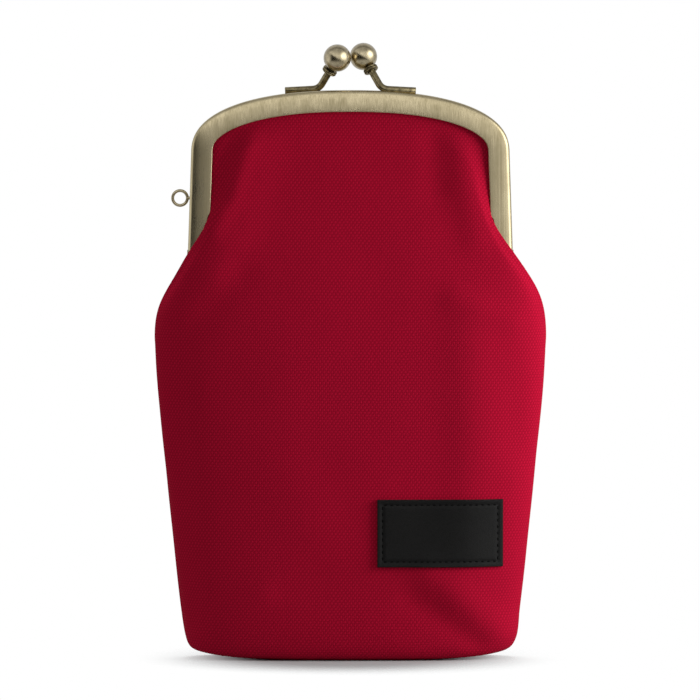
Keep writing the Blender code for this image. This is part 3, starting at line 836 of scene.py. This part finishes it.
def cage_rows():
    """The right half's rows, from the seam in the base up to the edge in the channel."""
    rows = []
    for share in BASE_ROW_SHARES:
        width = half_width(0) - (1 - share) * BASE_CORNER_SHRINK
        rows.append([
            Vector((a * width, -b * BASE_HALF_DEPTH * share, lift * BASE_CORNER_LIFT))
            for (a, b), lift in zip(COLUMN_SHARES, BASE_LIFT_SHARES)
        ])
    for z in WALL_ROWS:
        rows.append([Vector((a * half_width(z), -b * half_depth(z), z)) for a, b in COLUMN_SHARES])
    for point, lift in zip(rows[len(BASE_ROW_SHARES)], BASE_LIFT_SHARES):
        point.z += lift * WALL_CORNER_LIFT
    shoulder = [
        Vector((
            a * (SHOULDER_HALF_WIDTH - SHOULDER_TURN_IN), -b * SHOULDER_HALF_DEPTH,
            mix(OPENING_STOP_Z, LEG_END_Z, rise),
        ))
        for a, b, rise in SHOULDER_SHARES
    ]
    mouth = []
    for column, (forwards, down, out) in enumerate(MOUTH_OFFSETS):
        x, z = channel_place(column, MOUTH_INSET)
        mouth.append(Vector((x + out * MM, -CLOTH_IN_CHANNEL_Y - forwards * MM, z - down * MM)))
    rows.append(shoulder)
    for shares, offsets in zip(NECK_SHARES, NECK_OFFSETS):
        rows.append([
            low.lerp(high, share) + Vector((out * MM, -forwards * MM, 0))
            for low, high, share, (out, forwards) in zip(shoulder, mouth, shares, offsets)
        ])
    rows.append(mouth)
    for inset, backwards in CHANNEL_ROWS:
        places = [channel_place(column, inset) for column in range(len(COLUMN_SHARES))]
        rows.append([Vector((x, backwards - CLOTH_IN_CHANNEL_Y, z)) for x, z in places])
    return rows


# %% The spline that a row or a column of points guides
def spline(points, t):
    """The cubic spline at t, counted in points. It starts and ends on its end points."""
    last = len(points) - 1
    first = min(int(t), last - 1)
    f = t - first
    before = points[first - 1] if first else 2 * points[0] - points[1]
    after = points[first + 2] if first + 2 <= last else 2 * points[last] - points[last - 1]
    guides = (before, points[first], points[first + 1], after)
    shares = ((1 - f) ** 3, 3 * f ** 3 - 6 * f ** 2 + 4, -3 * f ** 3 + 3 * f ** 2 + 3 * f + 1, f ** 3)
    return sum(share / 6 * guide for share, guide in zip(shares, guides))


def smooth_panel(columns_wanted, rows_wanted):
    """The front panel's outer face as an array of points, [row, column, xyz]."""
    half = np.array([[list(point) for point in row] for row in cage_rows()])
    mirrored = half[:, :0:-1] * np.array((-1, 1, 1))
    cage = np.concatenate([mirrored, half], axis=1)
    tall = [spline(cage, (len(cage) - 1) * k / rows_wanted) for k in range(rows_wanted + 1)]
    across = np.swapaxes(np.array(tall), 0, 1)
    wide = [spline(across, (len(across) - 1) * k / columns_wanted) for k in range(columns_wanted + 1)]
    return np.swapaxes(np.array(wide), 0, 1)


# %% [markdown]
# ## Folds
#
# Canvas this stiff has few folds, and they are soft: a pucker beside each leg where the cloth is crowded
# into the channel, a hollow under each shoulder, and a crease across each lower corner where the box of the
# base is folded in. A simulation would find folds of its own. Here they have known places, so each is a
# stroke, as with a sculpting brush: a line on the panel, how wide it is and how far it lifts the cloth
# along its normal. A little noise keeps the flat parts from looking machined.

# %% Strokes that lift or press the cloth
# Each stroke: (x, z) points in millimetres, width in millimetres and lift in millimetres
FRONT_STROKES = (
    (((-31, 108), (-38, 100), (-46, 90), (-47.5, 78), (-47, 50), (-45, 12)), 4.5, -0.55),
    (((-25, 147), (-27, 136), (-31, 122), (-38, 108)), 6.0, 0.8),
    (((-28, 147), (-30.5, 138), (-33.5, 129), (-38, 120)), 3.2, 0.9),
    (((-38, 147), (-37, 131)), 3.8, -0.9),
    (((23, 146), (24, 132)), 4.0, -0.45),
    (((31, 147), (32, 132), (35, 118)), 4.5, 0.7),
    (((29, 101), (37, 98), (45, 95)), 3.5, 0.45),
    (((33, 96), (34, 70), (33, 40), (31, 22)), 7.5, 0.9),
    (((46, 75), (46, 60)), 4.0, -0.3),
    (((22, 24), (32, 16), (42, 8)), 5.0, 1.0),
    (((17, 18), (27, 11), (35, 5)), 3.5, -0.5),
    (((-24, 18), (-33, 12), (-41, 7)), 3.6, 0.5),
    (((-14, 100), (-20, 70), (-16, 40)), 12.0, 0.3),
)
BACK_STROKES = (
    (((-34, 108), (-44, 90), (-47, 55)), 5.0, -0.4),
    (((33, 110), (42, 92), (46, 66)), 5.5, -0.4),
    (((27, 147), (28, 132), (33, 116)), 5.0, 0.8),
    (((-27, 147), (-28, 132), (-33, 116)), 5.0, 0.8),
    (((-22, 20), (-31, 13), (-40, 7)), 4.5, 0.5),
    (((22, 20), (32, 13), (40, 7)), 4.5, 0.5),
    (((-12, 78), (2, 52), (10, 28)), 11.0, -0.6),
)
NOISE_LIFT = 0.2 * MM
NOISE_SIZE = 17 * MM
NOISE_SHEAR = 0.35
FOLDS_START, FOLDS_END = 0.17, 0.9
FADE, END_FADE = 0.06, 0.08
FRONT_NOISE_SHIFT, BACK_NOISE_SHIFT = 0.0, 7.3


def normals_of(points):
    """The outward normal at each point of the front panel's grid."""
    across = np.gradient(points, axis=1)
    up = np.gradient(points, axis=0)
    normal = np.cross(across, up)
    return normal / np.maximum(np.linalg.norm(normal, axis=2, keepdims=True), 1e-12)


def shares_from_middle(points):
    """For each column, 0 at the middle of the panel and 1 at its side seams."""
    columns = points.shape[1]
    return np.abs(np.arange(columns) / (columns - 1) * 2 - 1)


def bell(distance, width):
    """1 at no distance, and softly less away from it."""
    return np.exp(-(distance / width) ** 2)


def shares_up(points):
    """For each row, 0 at the seam in the base and 1 at the edge in the channel."""
    return np.arange(points.shape[0]) / (points.shape[0] - 1)


def stroke_weight(points, line, width):
    """How much of a stroke reaches each point, from 0 to 1."""
    flat = points[..., (0, 2)]
    nearest = np.full(flat.shape[:2], 1e9)
    for start, end in zip(line, line[1:]):
        start, end = np.array(start) * MM, np.array(end) * MM
        share = np.clip(((flat - start) @ (end - start)) / ((end - start) @ (end - start)), 0, 1)
        away = np.linalg.norm(flat - start - share[..., None] * (end - start), axis=2)
        nearest = np.minimum(nearest, away)
    return bell(nearest, width * MM)


def creased(points, strokes, noise_shift):
    """Lifts the cloth by its strokes and by noise, and leaves its sewn and held edges where they are."""
    normal = normals_of(points)
    lift = np.zeros(points.shape[:2])
    for line, width, height in strokes:
        lift += stroke_weight(points, line, width) * height * MM
    for row in range(points.shape[0]):
        for column in range(points.shape[1]):
            x, y, z = points[row, column] / NOISE_SIZE
            lift[row, column] += NOISE_LIFT * noise.noise(Vector((x + noise_shift, z + NOISE_SHEAR * x, y)))
    row_share = shares_up(points)
    held = np.clip((FOLDS_END - row_share) / END_FADE, 0, 1) * np.clip((row_share - FOLDS_START) / FADE, 0, 1)
    sewn = np.clip((1 - shares_from_middle(points)) / FADE, 0, 1)
    return points + normal * (lift * held[:, None] * sewn[None, :])[..., None]


# %% Distances along the cloth
WALL_MIDDLE_SHARE = 0.4


def running_length(points, axis):
    """The length along one axis of a grid of points, counted from its first point."""
    steps = np.linalg.norm(np.diff(points, axis=axis), axis=2)
    return np.insert(np.cumsum(steps, axis=axis), 0, 0, axis=axis)


def cloth_distances(points):
    """How far each point lies across and up the cloth, in metres, for threads that run level and upright.

    The rows count upwards and downwards from the middle of the wall, where the threads are level all round.
    """
    across = running_length(points[..., :2], 1)
    across -= across[:, points.shape[1] // 2][:, None]
    up = running_length(points[..., 1:], 0)
    up -= up[int(points.shape[0] * WALL_MIDDLE_SHARE)]
    return across, up


def grid_area(points):
    """The area of a grid of points, in square metres."""
    a, b = points[1:, 1:] - points[:-1, :-1], points[1:, :-1] - points[:-1, 1:]
    return float(np.linalg.norm(np.cross(a, b), axis=2).sum() / 2)


def cloth_sheet(name, points, side, distances):
    """A sheet on a grid of points, with its weave's UV map. The back panel is the front one turned about."""
    rows, columns = points.shape[0] - 1, points.shape[1] - 1
    across, up = distances
    work = bmesh.new()
    bmesh.ops.create_grid(work, x_segments=columns, y_segments=rows, size=1)
    threads = work.loops.layers.uv.new("weave")
    cells = {}
    for vert in work.verts:
        cells[vert] = (round((vert.co.y + 1) / 2 * rows), round((vert.co.x + 1) / 2 * columns))
    for face in work.faces:
        for loop in face.loops:
            row, column = cells[loop.vert]
            loop[threads].uv = (across[row, column], up[row, column])
    for vert, (row, column) in cells.items():
        x, y, z = points[row, column]
        vert.co = (x, y, z) if side == FRONT else (-x, -y, z)
    return object_of(name, work)


# %% [markdown]
# ## Canvas
#
# Plain weave: an upright thread goes over one level thread and under the next. The product of two sines,
# one across the threads and one along them, has that chequer of signs. Where it is positive the upright
# thread is on top, where it is negative the level one is, and near zero is the space between threads, where
# the colour darkens to a painted shade. Its size gives the bump. The upright threads on top are painted
# lighter, a painted sheen, which shows as rows of light points from a step away, and a wave that leans
# across both is painted as the threads' lit side and gives those points their slope.
# The map counts in metres, so the pitch of the threads is a real size.
#
# Dyed canvas has hardly any gloss, and white gloss would turn a deep red pink, so the specular level is
# near zero.

# %% The red canvas and the lining
UPRIGHT_PITCH = 0.54 * MM
LEVEL_PITCH = 0.75 * MM
WANDER = 0.5 * MM
WANDER_PER_METRE = 260
FIBRES_PER_METRE = 9000
DYE_CLOUDS_PER_METRE = 55
CANVAS_BUMP = 0.035 * MM
LINING_UPRIGHT_PITCH = 0.3 * MM
LINING_LEVEL_PITCH = 0.34 * MM
LINING_BUMP = 0.04 * MM
# The light and the middle tone of a thread, and the darkest tone, a painted shade between threads
CANVAS_COLOURS = ((0.485, 0.0068, 0.034), (0.345, 0.0047, 0.024), (0.285, 0.0038, 0.019))
LINING_COLOURS = ((0.14, 0.006, 0.012), (0.10, 0.004, 0.009), (0.04, 0.002, 0.004))


def canvas(name, light, mid, gap_shade, upright, level, lift):
    made, nodes = material(name)
    uv = nodes.add("ShaderNodeUVMap", {"uv_map": "weave"})
    wander_values = {"Vector": uv, "Scale": WANDER_PER_METRE, "Detail": 1.0}
    wander = nodes.add("ShaderNodeTexNoise", {}, wander_values, "Color")
    off_centre = nodes.vector_maths("SUBTRACT", wander, (0.5, 0.5, 0.5))
    drift = nodes.vector_maths("SCALE", off_centre, Scale=WANDER)
    moved = nodes.vector_maths("ADD", uv, drift)
    across, up = nodes.axis(moved, 0), nodes.axis(moved, 1)
    upright_turn = across * (math.pi / upright)
    level_turn = up * (math.pi / level)
    chequer = upright_turn.sine() * level_turn.sine()
    # A wave that leans across both sets of threads, painted into the colour as the threads' lit side
    painted_lit_side = (upright_turn - level_turn + math.pi / 2).sine()
    crown = abs(chequer) ** 0.5
    upright_on_top = chequer.ramp(-0.08, 0.08)
    slubs = nodes.noise(nodes.stretched(moved, (1 / upright, 0.06 / upright, 1.0)), 1.0, 2.0)
    fibres = nodes.noise(moved, FIBRES_PER_METRE, 2.0, 0.7)
    clouds = nodes.noise(moved, DYE_CLOUDS_PER_METRE, 3.0, 0.6)
    # Slubs, fibres and dye clouds, plus a painted sheen on the upright threads and the painted lit side
    tone_and_painted_light = upright_on_top * 0.35 + painted_lit_side * 0.17 + 0.1 + slubs * 0.35 + fibres * 0.2 + clouds * 0.25
    thread = nodes.mix(tone_and_painted_light.ramp(0.25, 1.05), mid, light)
    # Between threads the colour falls to the darkest tone, a painted shade
    colour = nodes.mix(crown.ramp(0.15, 0.62), gap_shade, thread)
    normal = nodes.bump(crown + fibres * 0.12, lift)
    nodes.surface(colour, Roughness=0.95 - crown * 0.1, Normal=normal, Specular_IOR_Level=0.02)
    return made


red_canvas = canvas("red_canvas_weave", *CANVAS_COLOURS, UPRIGHT_PITCH, LEVEL_PITCH, CANVAS_BUMP)
dark_lining = canvas("lining_weave", *LINING_COLOURS, LINING_UPRIGHT_PITCH, LINING_LEVEL_PITCH, LINING_BUMP)

# %% The panels and the lining
CANVAS_THICKNESS = 0.6 * MM
LINING_THICKNESS = 0.35 * MM
LINING_DEPTH = 1.05 * MM
SEAM_OVERLAP = 0.03 * MM
SEAM_GROOVE = 0.45 * MM
SEAM_GROOVE_WIDTH = 0.012
LINING_EDGE_DEPTH = 0.63 * MM
LINING_EDGE_FROM = 0.92
LINING_SEAM_TOP_Z = 104 * MM
LINING_SEAM_FADE = 4 * MM
SHOULDER_PULL = 1.5 * MM
SHOULDER_PULL_Z = 107 * MM
SHOULDER_PULL_HEIGHT = 8 * MM
LEG_TUCK = 1.2 * MM
LEG_TUCK_BACK = 0.3 * MM
LEG_TUCK_Z = 125.5 * MM
LEG_TUCK_HEIGHT = 5 * MM
PANEL_COLUMNS = 140
PANEL_ROWS = 150


def panel(name, side, points, thickness, look, stands_for):
    """A sheet with its thickness inwards from its outer face."""
    thing = cloth_sheet(name, points, side, plain_distances)
    wall = thing.modifiers.new("thickness", "SOLIDIFY")
    wall.thickness, wall.offset, wall.use_even_offset = thickness, -1, False
    finish_piece(baked(thing), look, None, [stands_for], 60)
    grid_area(points)
    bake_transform(thing)
    print(f"{name}: {grid_area(points) * 1e4:.0f} cm2 of cloth")


plain_panel = smooth_panel(PANEL_COLUMNS, PANEL_ROWS)
plain_panel[..., 1] = np.minimum(plain_panel[..., 1], 0)
plain_distances = cloth_distances(plain_panel)


def pulled_in(points, side):
    """Draws in the seams, and the pouch's left shoulder a little, which the back panel has at its right."""
    pulled = points.copy()
    row_share = shares_up(points)
    side_seam = bell(1 - shares_from_middle(points), SEAM_GROOVE_WIDTH)[None, :]
    base_seam = bell(row_share, SEAM_GROOVE_WIDTH)[:, None]
    below_shoulder = np.clip((SHOULDER_Z - points[..., 2]) / SHOULDER_ROUND, 0, 1)
    pulled[..., 0] -= np.sign(points[..., 0]) * SEAM_GROOVE * side_seam * below_shoulder
    pulled[..., 1] += np.maximum(side_seam, base_seam) * SEAM_OVERLAP
    pulled[..., 2] += base_seam * SEAM_GROOVE
    outwards_share = np.clip(points[..., 0] * side / SHOULDER_HALF_WIDTH, 0, 1) ** 3
    height_share = bell(points[..., 2] - SHOULDER_PULL_Z, SHOULDER_PULL_HEIGHT)
    pulled[..., 0] -= side * outwards_share * height_share * SHOULDER_PULL
    return pulled


def lining_points(points):
    """The lining lies behind the canvas, is sewn to it at the edges and stays clear of the frame's legs."""
    edge_share = np.clip((shares_from_middle(points) - LINING_EDGE_FROM) / (1 - LINING_EDGE_FROM), 0, 1)
    depth = mix(LINING_DEPTH, LINING_EDGE_DEPTH, edge_share)[None, :, None]
    inner = points - normals_of(points) * depth
    closed = edge_share * np.clip((LINING_SEAM_TOP_Z - inner[..., 2]) / LINING_SEAM_FADE, 0, 1)
    inner[..., 1] = np.minimum(inner[..., 1] * (1 - closed), 0) + closed * SEAM_OVERLAP
    tucked = edge_share * bell(inner[..., 2] - LEG_TUCK_Z, LEG_TUCK_HEIGHT)
    inner[..., 0] += np.sign(inner[..., 0]) * tucked * LEG_TUCK
    inner[..., 1] += tucked * LEG_TUCK_BACK
    return inner


front_points = creased(pulled_in(plain_panel, FRONT), FRONT_STROKES, FRONT_NOISE_SHIFT)
back_points = creased(pulled_in(plain_panel, BACK), BACK_STROKES, BACK_NOISE_SHIFT)
walls = (("front", FRONT, front_points), ("back", BACK, back_points))
for word, side, points in walls:
    panel(f"{word}_canvas", side, points, CANVAS_THICKNESS, red_canvas, f"{word}_panel")
for word, side, points in walls:
    panel(
        f"{word}_lining_cloth", side, lining_points(points), LINING_THICKNESS, dark_lining,
        f"{word}_lining",
    )

# %% [markdown]
# ## The paper cords
#
# Twisted paper wedges the cloth in the channel. The plain model's cords already have the right shape, and
# almost all of them is hidden, so they keep it and only get a kraft paper finish with a twist.

# %% Kraft paper
PAPER_LIGHT = (0.62, 0.47, 0.29)
PAPER_DARK = (0.36, 0.25, 0.14)
PAPER_TWISTS_PER_METRE = 420
PAPER_FIBRES_PER_METRE = 2600

paper, nodes = material("kraft_paper")
place = nodes.place()
twist = nodes.twist(place, PAPER_TWISTS_PER_METRE, 2.0)
fibres = nodes.noise(place, PAPER_FIBRES_PER_METRE, 3.0, 0.7)
nodes.surface(
    nodes.mix((twist * 0.6 + fibres * 0.4).ramp(0.2, 0.8), PAPER_DARK, PAPER_LIGHT),
    Roughness=0.85, Normal=nodes.bump(twist, 0.1 * MM), Specular_IOR_Level=0.2,
)
for cord in ("front_paper_cord", "back_paper_cord"):
    node = frame["nodes"][cord]
    node.data.materials.clear()
    node.data.materials.append(paper)

# %% [markdown]
# ## The stitched patch
#
# The patch is thin black leather, sewn on close to its edge. Its edge is rounded, and the thread pulls a
# shallow channel along the seam. A ray from the front finds the canvas under each point, so the patch
# follows the bag.

# %% Black leather and black thread
LEATHER_CELLS_PER_METRE = 2600
LEATHER_PORES_PER_METRE = 5200
LEATHER_DARK = (0.0022, 0.0022, 0.0021)
LEATHER_LIGHT = (0.0085, 0.0083, 0.0079)
THREAD_TWISTS_PER_METRE = 1500
THREAD_DARK = (0.0008, 0.0008, 0.0008)
THREAD_LIGHT = (0.003, 0.003, 0.0029)

leather, nodes = material("black_leather_grain")
place = nodes.place()
cell_values = {"Vector": place, "Scale": LEATHER_CELLS_PER_METRE}
cells = nodes.add("ShaderNodeTexVoronoi", {"feature": "DISTANCE_TO_EDGE"}, cell_values)
pores = nodes.noise(place, LEATHER_PORES_PER_METRE, 3.0, 0.6)
grain = cells.ramp(0.0, 0.25) * 0.6 + pores * 0.4
nodes.surface(
    nodes.mix(grain, LEATHER_DARK, LEATHER_LIGHT),
    Roughness=0.62 - grain * 0.12, Normal=nodes.bump(grain, 0.03 * MM, 0.8), Specular_IOR_Level=0.15,
)

thread, nodes = material("black_thread")
twist = nodes.twist(nodes.place(), THREAD_TWISTS_PER_METRE)
nodes.surface(
    nodes.mix(twist, THREAD_DARK, THREAD_LIGHT),
    Roughness=0.6, Normal=nodes.bump(twist, 0.04 * MM), Specular_IOR_Level=0.05,
)

# %% The patch
patch_low, patch_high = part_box("label_patch")
PATCH_GAP = 0.05 * MM
PATCH_THICKNESS = 0.9 * MM
PATCH_COLUMNS = 110
PATCH_ROWS = 60
SEAM_INSET = 1.5 * MM
SEAM_WIDTH = 0.45 * MM
SEAM_PRESS = 0.26 * MM
PATCH_EDGE_ROUND = 0.16 * MM
PATCH_EDGE_ANGLE = math.radians(50)

under = bmesh.new()
under.from_mesh(bpy.data.objects["front_canvas"].data)
canvas_tree = BVHTree.FromBMesh(under)
under.free()


def canvas_y(x, z):
    """Where the front canvas is, seen straight from the front."""
    hit = canvas_tree.ray_cast(Vector((x, -0.05, z)), Vector((0, 1, 0)))[0]
    return hit.y


def edge_distance(x, z):
    """How far a place is inside the patch's edge."""
    return min(x - patch_low.x, patch_high.x - x, z - patch_low.z, patch_high.z - z)


work = bmesh.new()
bmesh.ops.create_grid(work, x_segments=PATCH_COLUMNS, y_segments=PATCH_ROWS, size=0.5)
for vert in work.verts:
    x, z = mix(patch_low.x, patch_high.x, vert.co.x + 0.5), mix(patch_low.z, patch_high.z, vert.co.y + 0.5)
    press = SEAM_PRESS * bell(edge_distance(x, z) - SEAM_INSET, SEAM_WIDTH)
    vert.co = (x, canvas_y(x, z) - PATCH_GAP - PATCH_THICKNESS + press, z)
grown = bmesh.ops.extrude_face_region(work, geom=work.faces[:], use_keep_orig=True)["geom"]
for vert in verts_of(grown):
    vert.co.y = canvas_y(vert.co.x, vert.co.z) - PATCH_GAP
outwards(work)
corner_edges = [
    edge for edge in work.edges
    if len(edge.link_faces) == 2 and edge.calc_face_angle() > PATCH_EDGE_ANGLE
]
bmesh.ops.bevel(
    work, geom=corner_edges, offset=PATCH_EDGE_ROUND, offset_type="OFFSET", segments=3, profile=0.5,
    affect="EDGES", clamp_overlap=True, material=-1,
)
finish_piece(object_of("sewn_patch", work), leather, "pouch", ["label_patch"], 40)

# %% [markdown]
# The stitches are separate: each is a short bowed thread that comes out of one hole and goes into the next.
# One stitch is made from a sphere drawn out and bent, and a loop sets a copy at every pitch along the four
# sides.

# %% The patch's stitches
STITCH_PITCH = 1.7 * MM
STITCH_LENGTH = 1.35 * MM
STITCH_RADIUS = 0.22 * MM
STITCH_DIP = 0.22 * MM
STITCH_SINK = 0.02 * MM
SLOPE_STEP = 0.2 * MM


def stitch(work, centre, along, out):
    """One stitch, with its ends dipped into the leather."""
    side = along.cross(out)
    turned = Matrix((along * STITCH_LENGTH / 2, side * STITCH_RADIUS, out * STITCH_RADIUS)).transposed()
    verts = bmesh.ops.create_uvsphere(
        work, u_segments=8, v_segments=10, radius=1, matrix=Matrix.Rotation(math.pi / 2, 4, "Y"),
    )["verts"]
    for vert in verts:
        bow = vert.co.x ** 2
        vert.co = centre + turned @ vert.co - out * STITCH_DIP * bow


work = bmesh.new()
low_x, high_x = patch_low.x + SEAM_INSET, patch_high.x - SEAM_INSET
low_z, high_z = patch_low.z + SEAM_INSET, patch_high.z - SEAM_INSET
corners = [(low_x, low_z), (high_x, low_z), (high_x, high_z), (low_x, high_z)]
for (x0, z0), (x1, z1) in zip(corners, corners[1:] + corners[:1]):
    count = round(math.hypot(x1 - x0, z1 - z0) / STITCH_PITCH)
    ahead = Vector((x1 - x0, 0, z1 - z0)).normalized() * SLOPE_STEP
    for k in range(count):
        share = (k + 0.5) / count
        x, z = mix(x0, x1, share), mix(z0, z1, share)
        slope = canvas_y(x + ahead.x, z + ahead.z) - canvas_y(x, z)
        along = Vector((ahead.x, slope, ahead.z)).normalized()
        out = Vector((0, -1, 0))
        out = (out - out.dot(along) * along).normalized()
        surface_y = canvas_y(x, z) - PATCH_GAP - PATCH_THICKNESS + SEAM_PRESS
        stitch(work, Vector((x, surface_y + STITCH_SINK, z)), along, out)
finish_piece(object_of("patch_stitches", work), thread, "pouch", (), None)

# %% [markdown]
# ## Studio
#
# The pouch stands on white paper. A soft lamp lights it from the right, a wider one hangs above it and a
# little behind, and a weak one fills the left. Brass shows what is around it, so where the studio is dark
# matters as much as its lights. The world gives both: seen straight it is white paper, on the cloth it is
# an even soft light, and in the brass it is bright at the right, above and behind, and dark at the front
# left.

# %% The world
GLINT = Vector((0.84, -0.46, 0.27)).normalized()
GLINT_LIGHT = 2.4
LEFT_END_LIGHT = 0.9
LOW_LIGHT = 0.5
BACKDROP_LIGHT = 0.6
DARKEST = 0.01
AMBIENT_FRONT = 0.33
AMBIENT_BEHIND = 0.22
WHITE = (1.0, 1.0, 1.0, 1.0)

world = bpy.data.worlds.new("studio")
scene.world = world
world.use_nodes = True
nodes = Nodes(world.node_tree)
direction = nodes.add("ShaderNodeTexCoord", {}, {}, "Generated")
towards_right, towards_back, towards_top = (nodes.axis(direction, number) for number in range(3))
softness = 1.10 - towards_top.ramp(0.35, 0.9) * 0.6 - towards_back.ramp(-0.2, 0.35) * 0.5
right_side = 1 - towards_right.ramp(0.05, 0.3) * 0.15
right_and_top = (towards_right * 1.4 + towards_top * 2.4).ramp(-0.10, 0.22) * softness * right_side
left_end = (towards_right * -1).ramp(0.72, 1.0) * LEFT_END_LIGHT
low = (towards_top * -1).ramp(0.3, 0.55) * LOW_LIGHT
backdrop = towards_back.ramp(0.0, 0.5) * BACKDROP_LIGHT
glint = towards_right * GLINT[0] + towards_back * GLINT[1] + towards_top * GLINT[2]
room = backdrop.at_least(right_and_top).at_least(left_end).at_least(low)
room = room + glint.ramp(0.84, 0.975) * GLINT_LIGHT + DARKEST
behind = (towards_back * 0.7 + towards_top * 0.7).ramp(0.2, 0.95)
ambient = behind * AMBIENT_BEHIND + AMBIENT_FRONT
seen = nodes.add("ShaderNodeLightPath", {}, {}, "Is Camera Ray")
mirrored = nodes.add("ShaderNodeLightPath", {}, {}, "Is Glossy Ray")
strength = seen + (1 - seen) * (mirrored * room + (1 - mirrored) * ambient)
background = nodes.add("ShaderNodeBackground", {}, {"Color": WHITE, "Strength": strength})
nodes.add("ShaderNodeOutputWorld", {}, {"Surface": background})
print("world:", len(world.node_tree.nodes), "nodes")

# %% The floor
FLOOR_SIZE = 1.2
FLOOR_COLOUR = (0.52, 0.55, 0.55, 1.0)
FLOOR_CLEAR_FROM = 24 * MM
FLOOR_CLEAR_TO = 62 * MM

work = bmesh.new()
bmesh.ops.create_grid(work, x_segments=1, y_segments=1, size=FLOOR_SIZE / 2)
floor = object_of("paper_floor", work)
white_paper, nodes = material("white_paper")
from_middle = nodes.add("ShaderNodeVectorMath", {"operation": "LENGTH"}, {0: nodes.place()}, "Value")
below = nodes.add("ShaderNodeNewGeometry", {}, {}, "Backfacing")
nearness = (1 - from_middle.ramp(FLOOR_CLEAR_FROM, FLOOR_CLEAR_TO)) * (1 - below)
diffuse = nodes.add("ShaderNodeBsdfDiffuse", {}, {"Color": FLOOR_COLOUR})
clear = nodes.add("ShaderNodeBsdfTransparent", {}, {"Color": WHITE})
paper_mix = nodes.add("ShaderNodeMixShader", {}, {0: nearness, 1: clear, 2: diffuse})
nodes.add("ShaderNodeOutputMaterial", {}, {"Surface": paper_mix})
floor.data.materials.append(white_paper)

# %% The lamps
def softbox(name, place, target, width, height, watts):
    """A rectangular lamp for cloth and paper. Brass mirrors the world instead, which has softer edges."""
    lamp = bpy.data.lights.new(name, "AREA")
    lamp.shape = "RECTANGLE"
    lamp.size, lamp.size_y = width, height
    lamp.energy = watts
    thing = linked(name, lamp)
    thing.location = place
    thing.rotation_euler = (Vector(target) - Vector(place)).to_track_quat("-Z", "Y").to_euler()
    thing.visible_camera = False
    thing.visible_glossy = False
    print(f"{name}: {watts} W")


middle = (0, 0, 85 * MM)
softbox("key_softbox", (0.34, -0.10, 0.15), middle, 0.16, 0.22, 1.3)
softbox("left_softbox", (-0.34, -0.26, 0.12), middle, 0.25, 0.25, 0.14)
softbox("back_softbox", (0.0, 0.17, 0.52), (0, 0, 0), 0.28, 0.20, 3.0)

# %% [markdown]
# ## Camera
#
# A long lens, far away, just above the level of the pouch. The picture is square, and its width at the
# pouch is what sets the lens.

# %% The camera
PICTURE_WIDTH = 196 * MM
CAMERA_DISTANCE = 2.2
CAMERA_ELEVATION = math.radians(2.5)
AIM = Vector((-0.1 * MM, 0, 86.3 * MM))
SENSOR = 36.0

lens = bpy.data.cameras.new("camera")
lens.sensor_width = SENSOR
lens.lens = SENSOR * CAMERA_DISTANCE / PICTURE_WIDTH
lens.clip_start, lens.clip_end = 0.1, 20
camera = linked("camera", lens)
away = Vector((0, -math.cos(CAMERA_ELEVATION), math.sin(CAMERA_ELEVATION)))
camera.location = AIM + away * CAMERA_DISTANCE
camera.rotation_euler = (-away).to_track_quat("-Z", "Y").to_euler()
scene.camera = camera
scene.view_settings.view_transform = "Standard"
print("lens:", round(lens.lens), "mm")
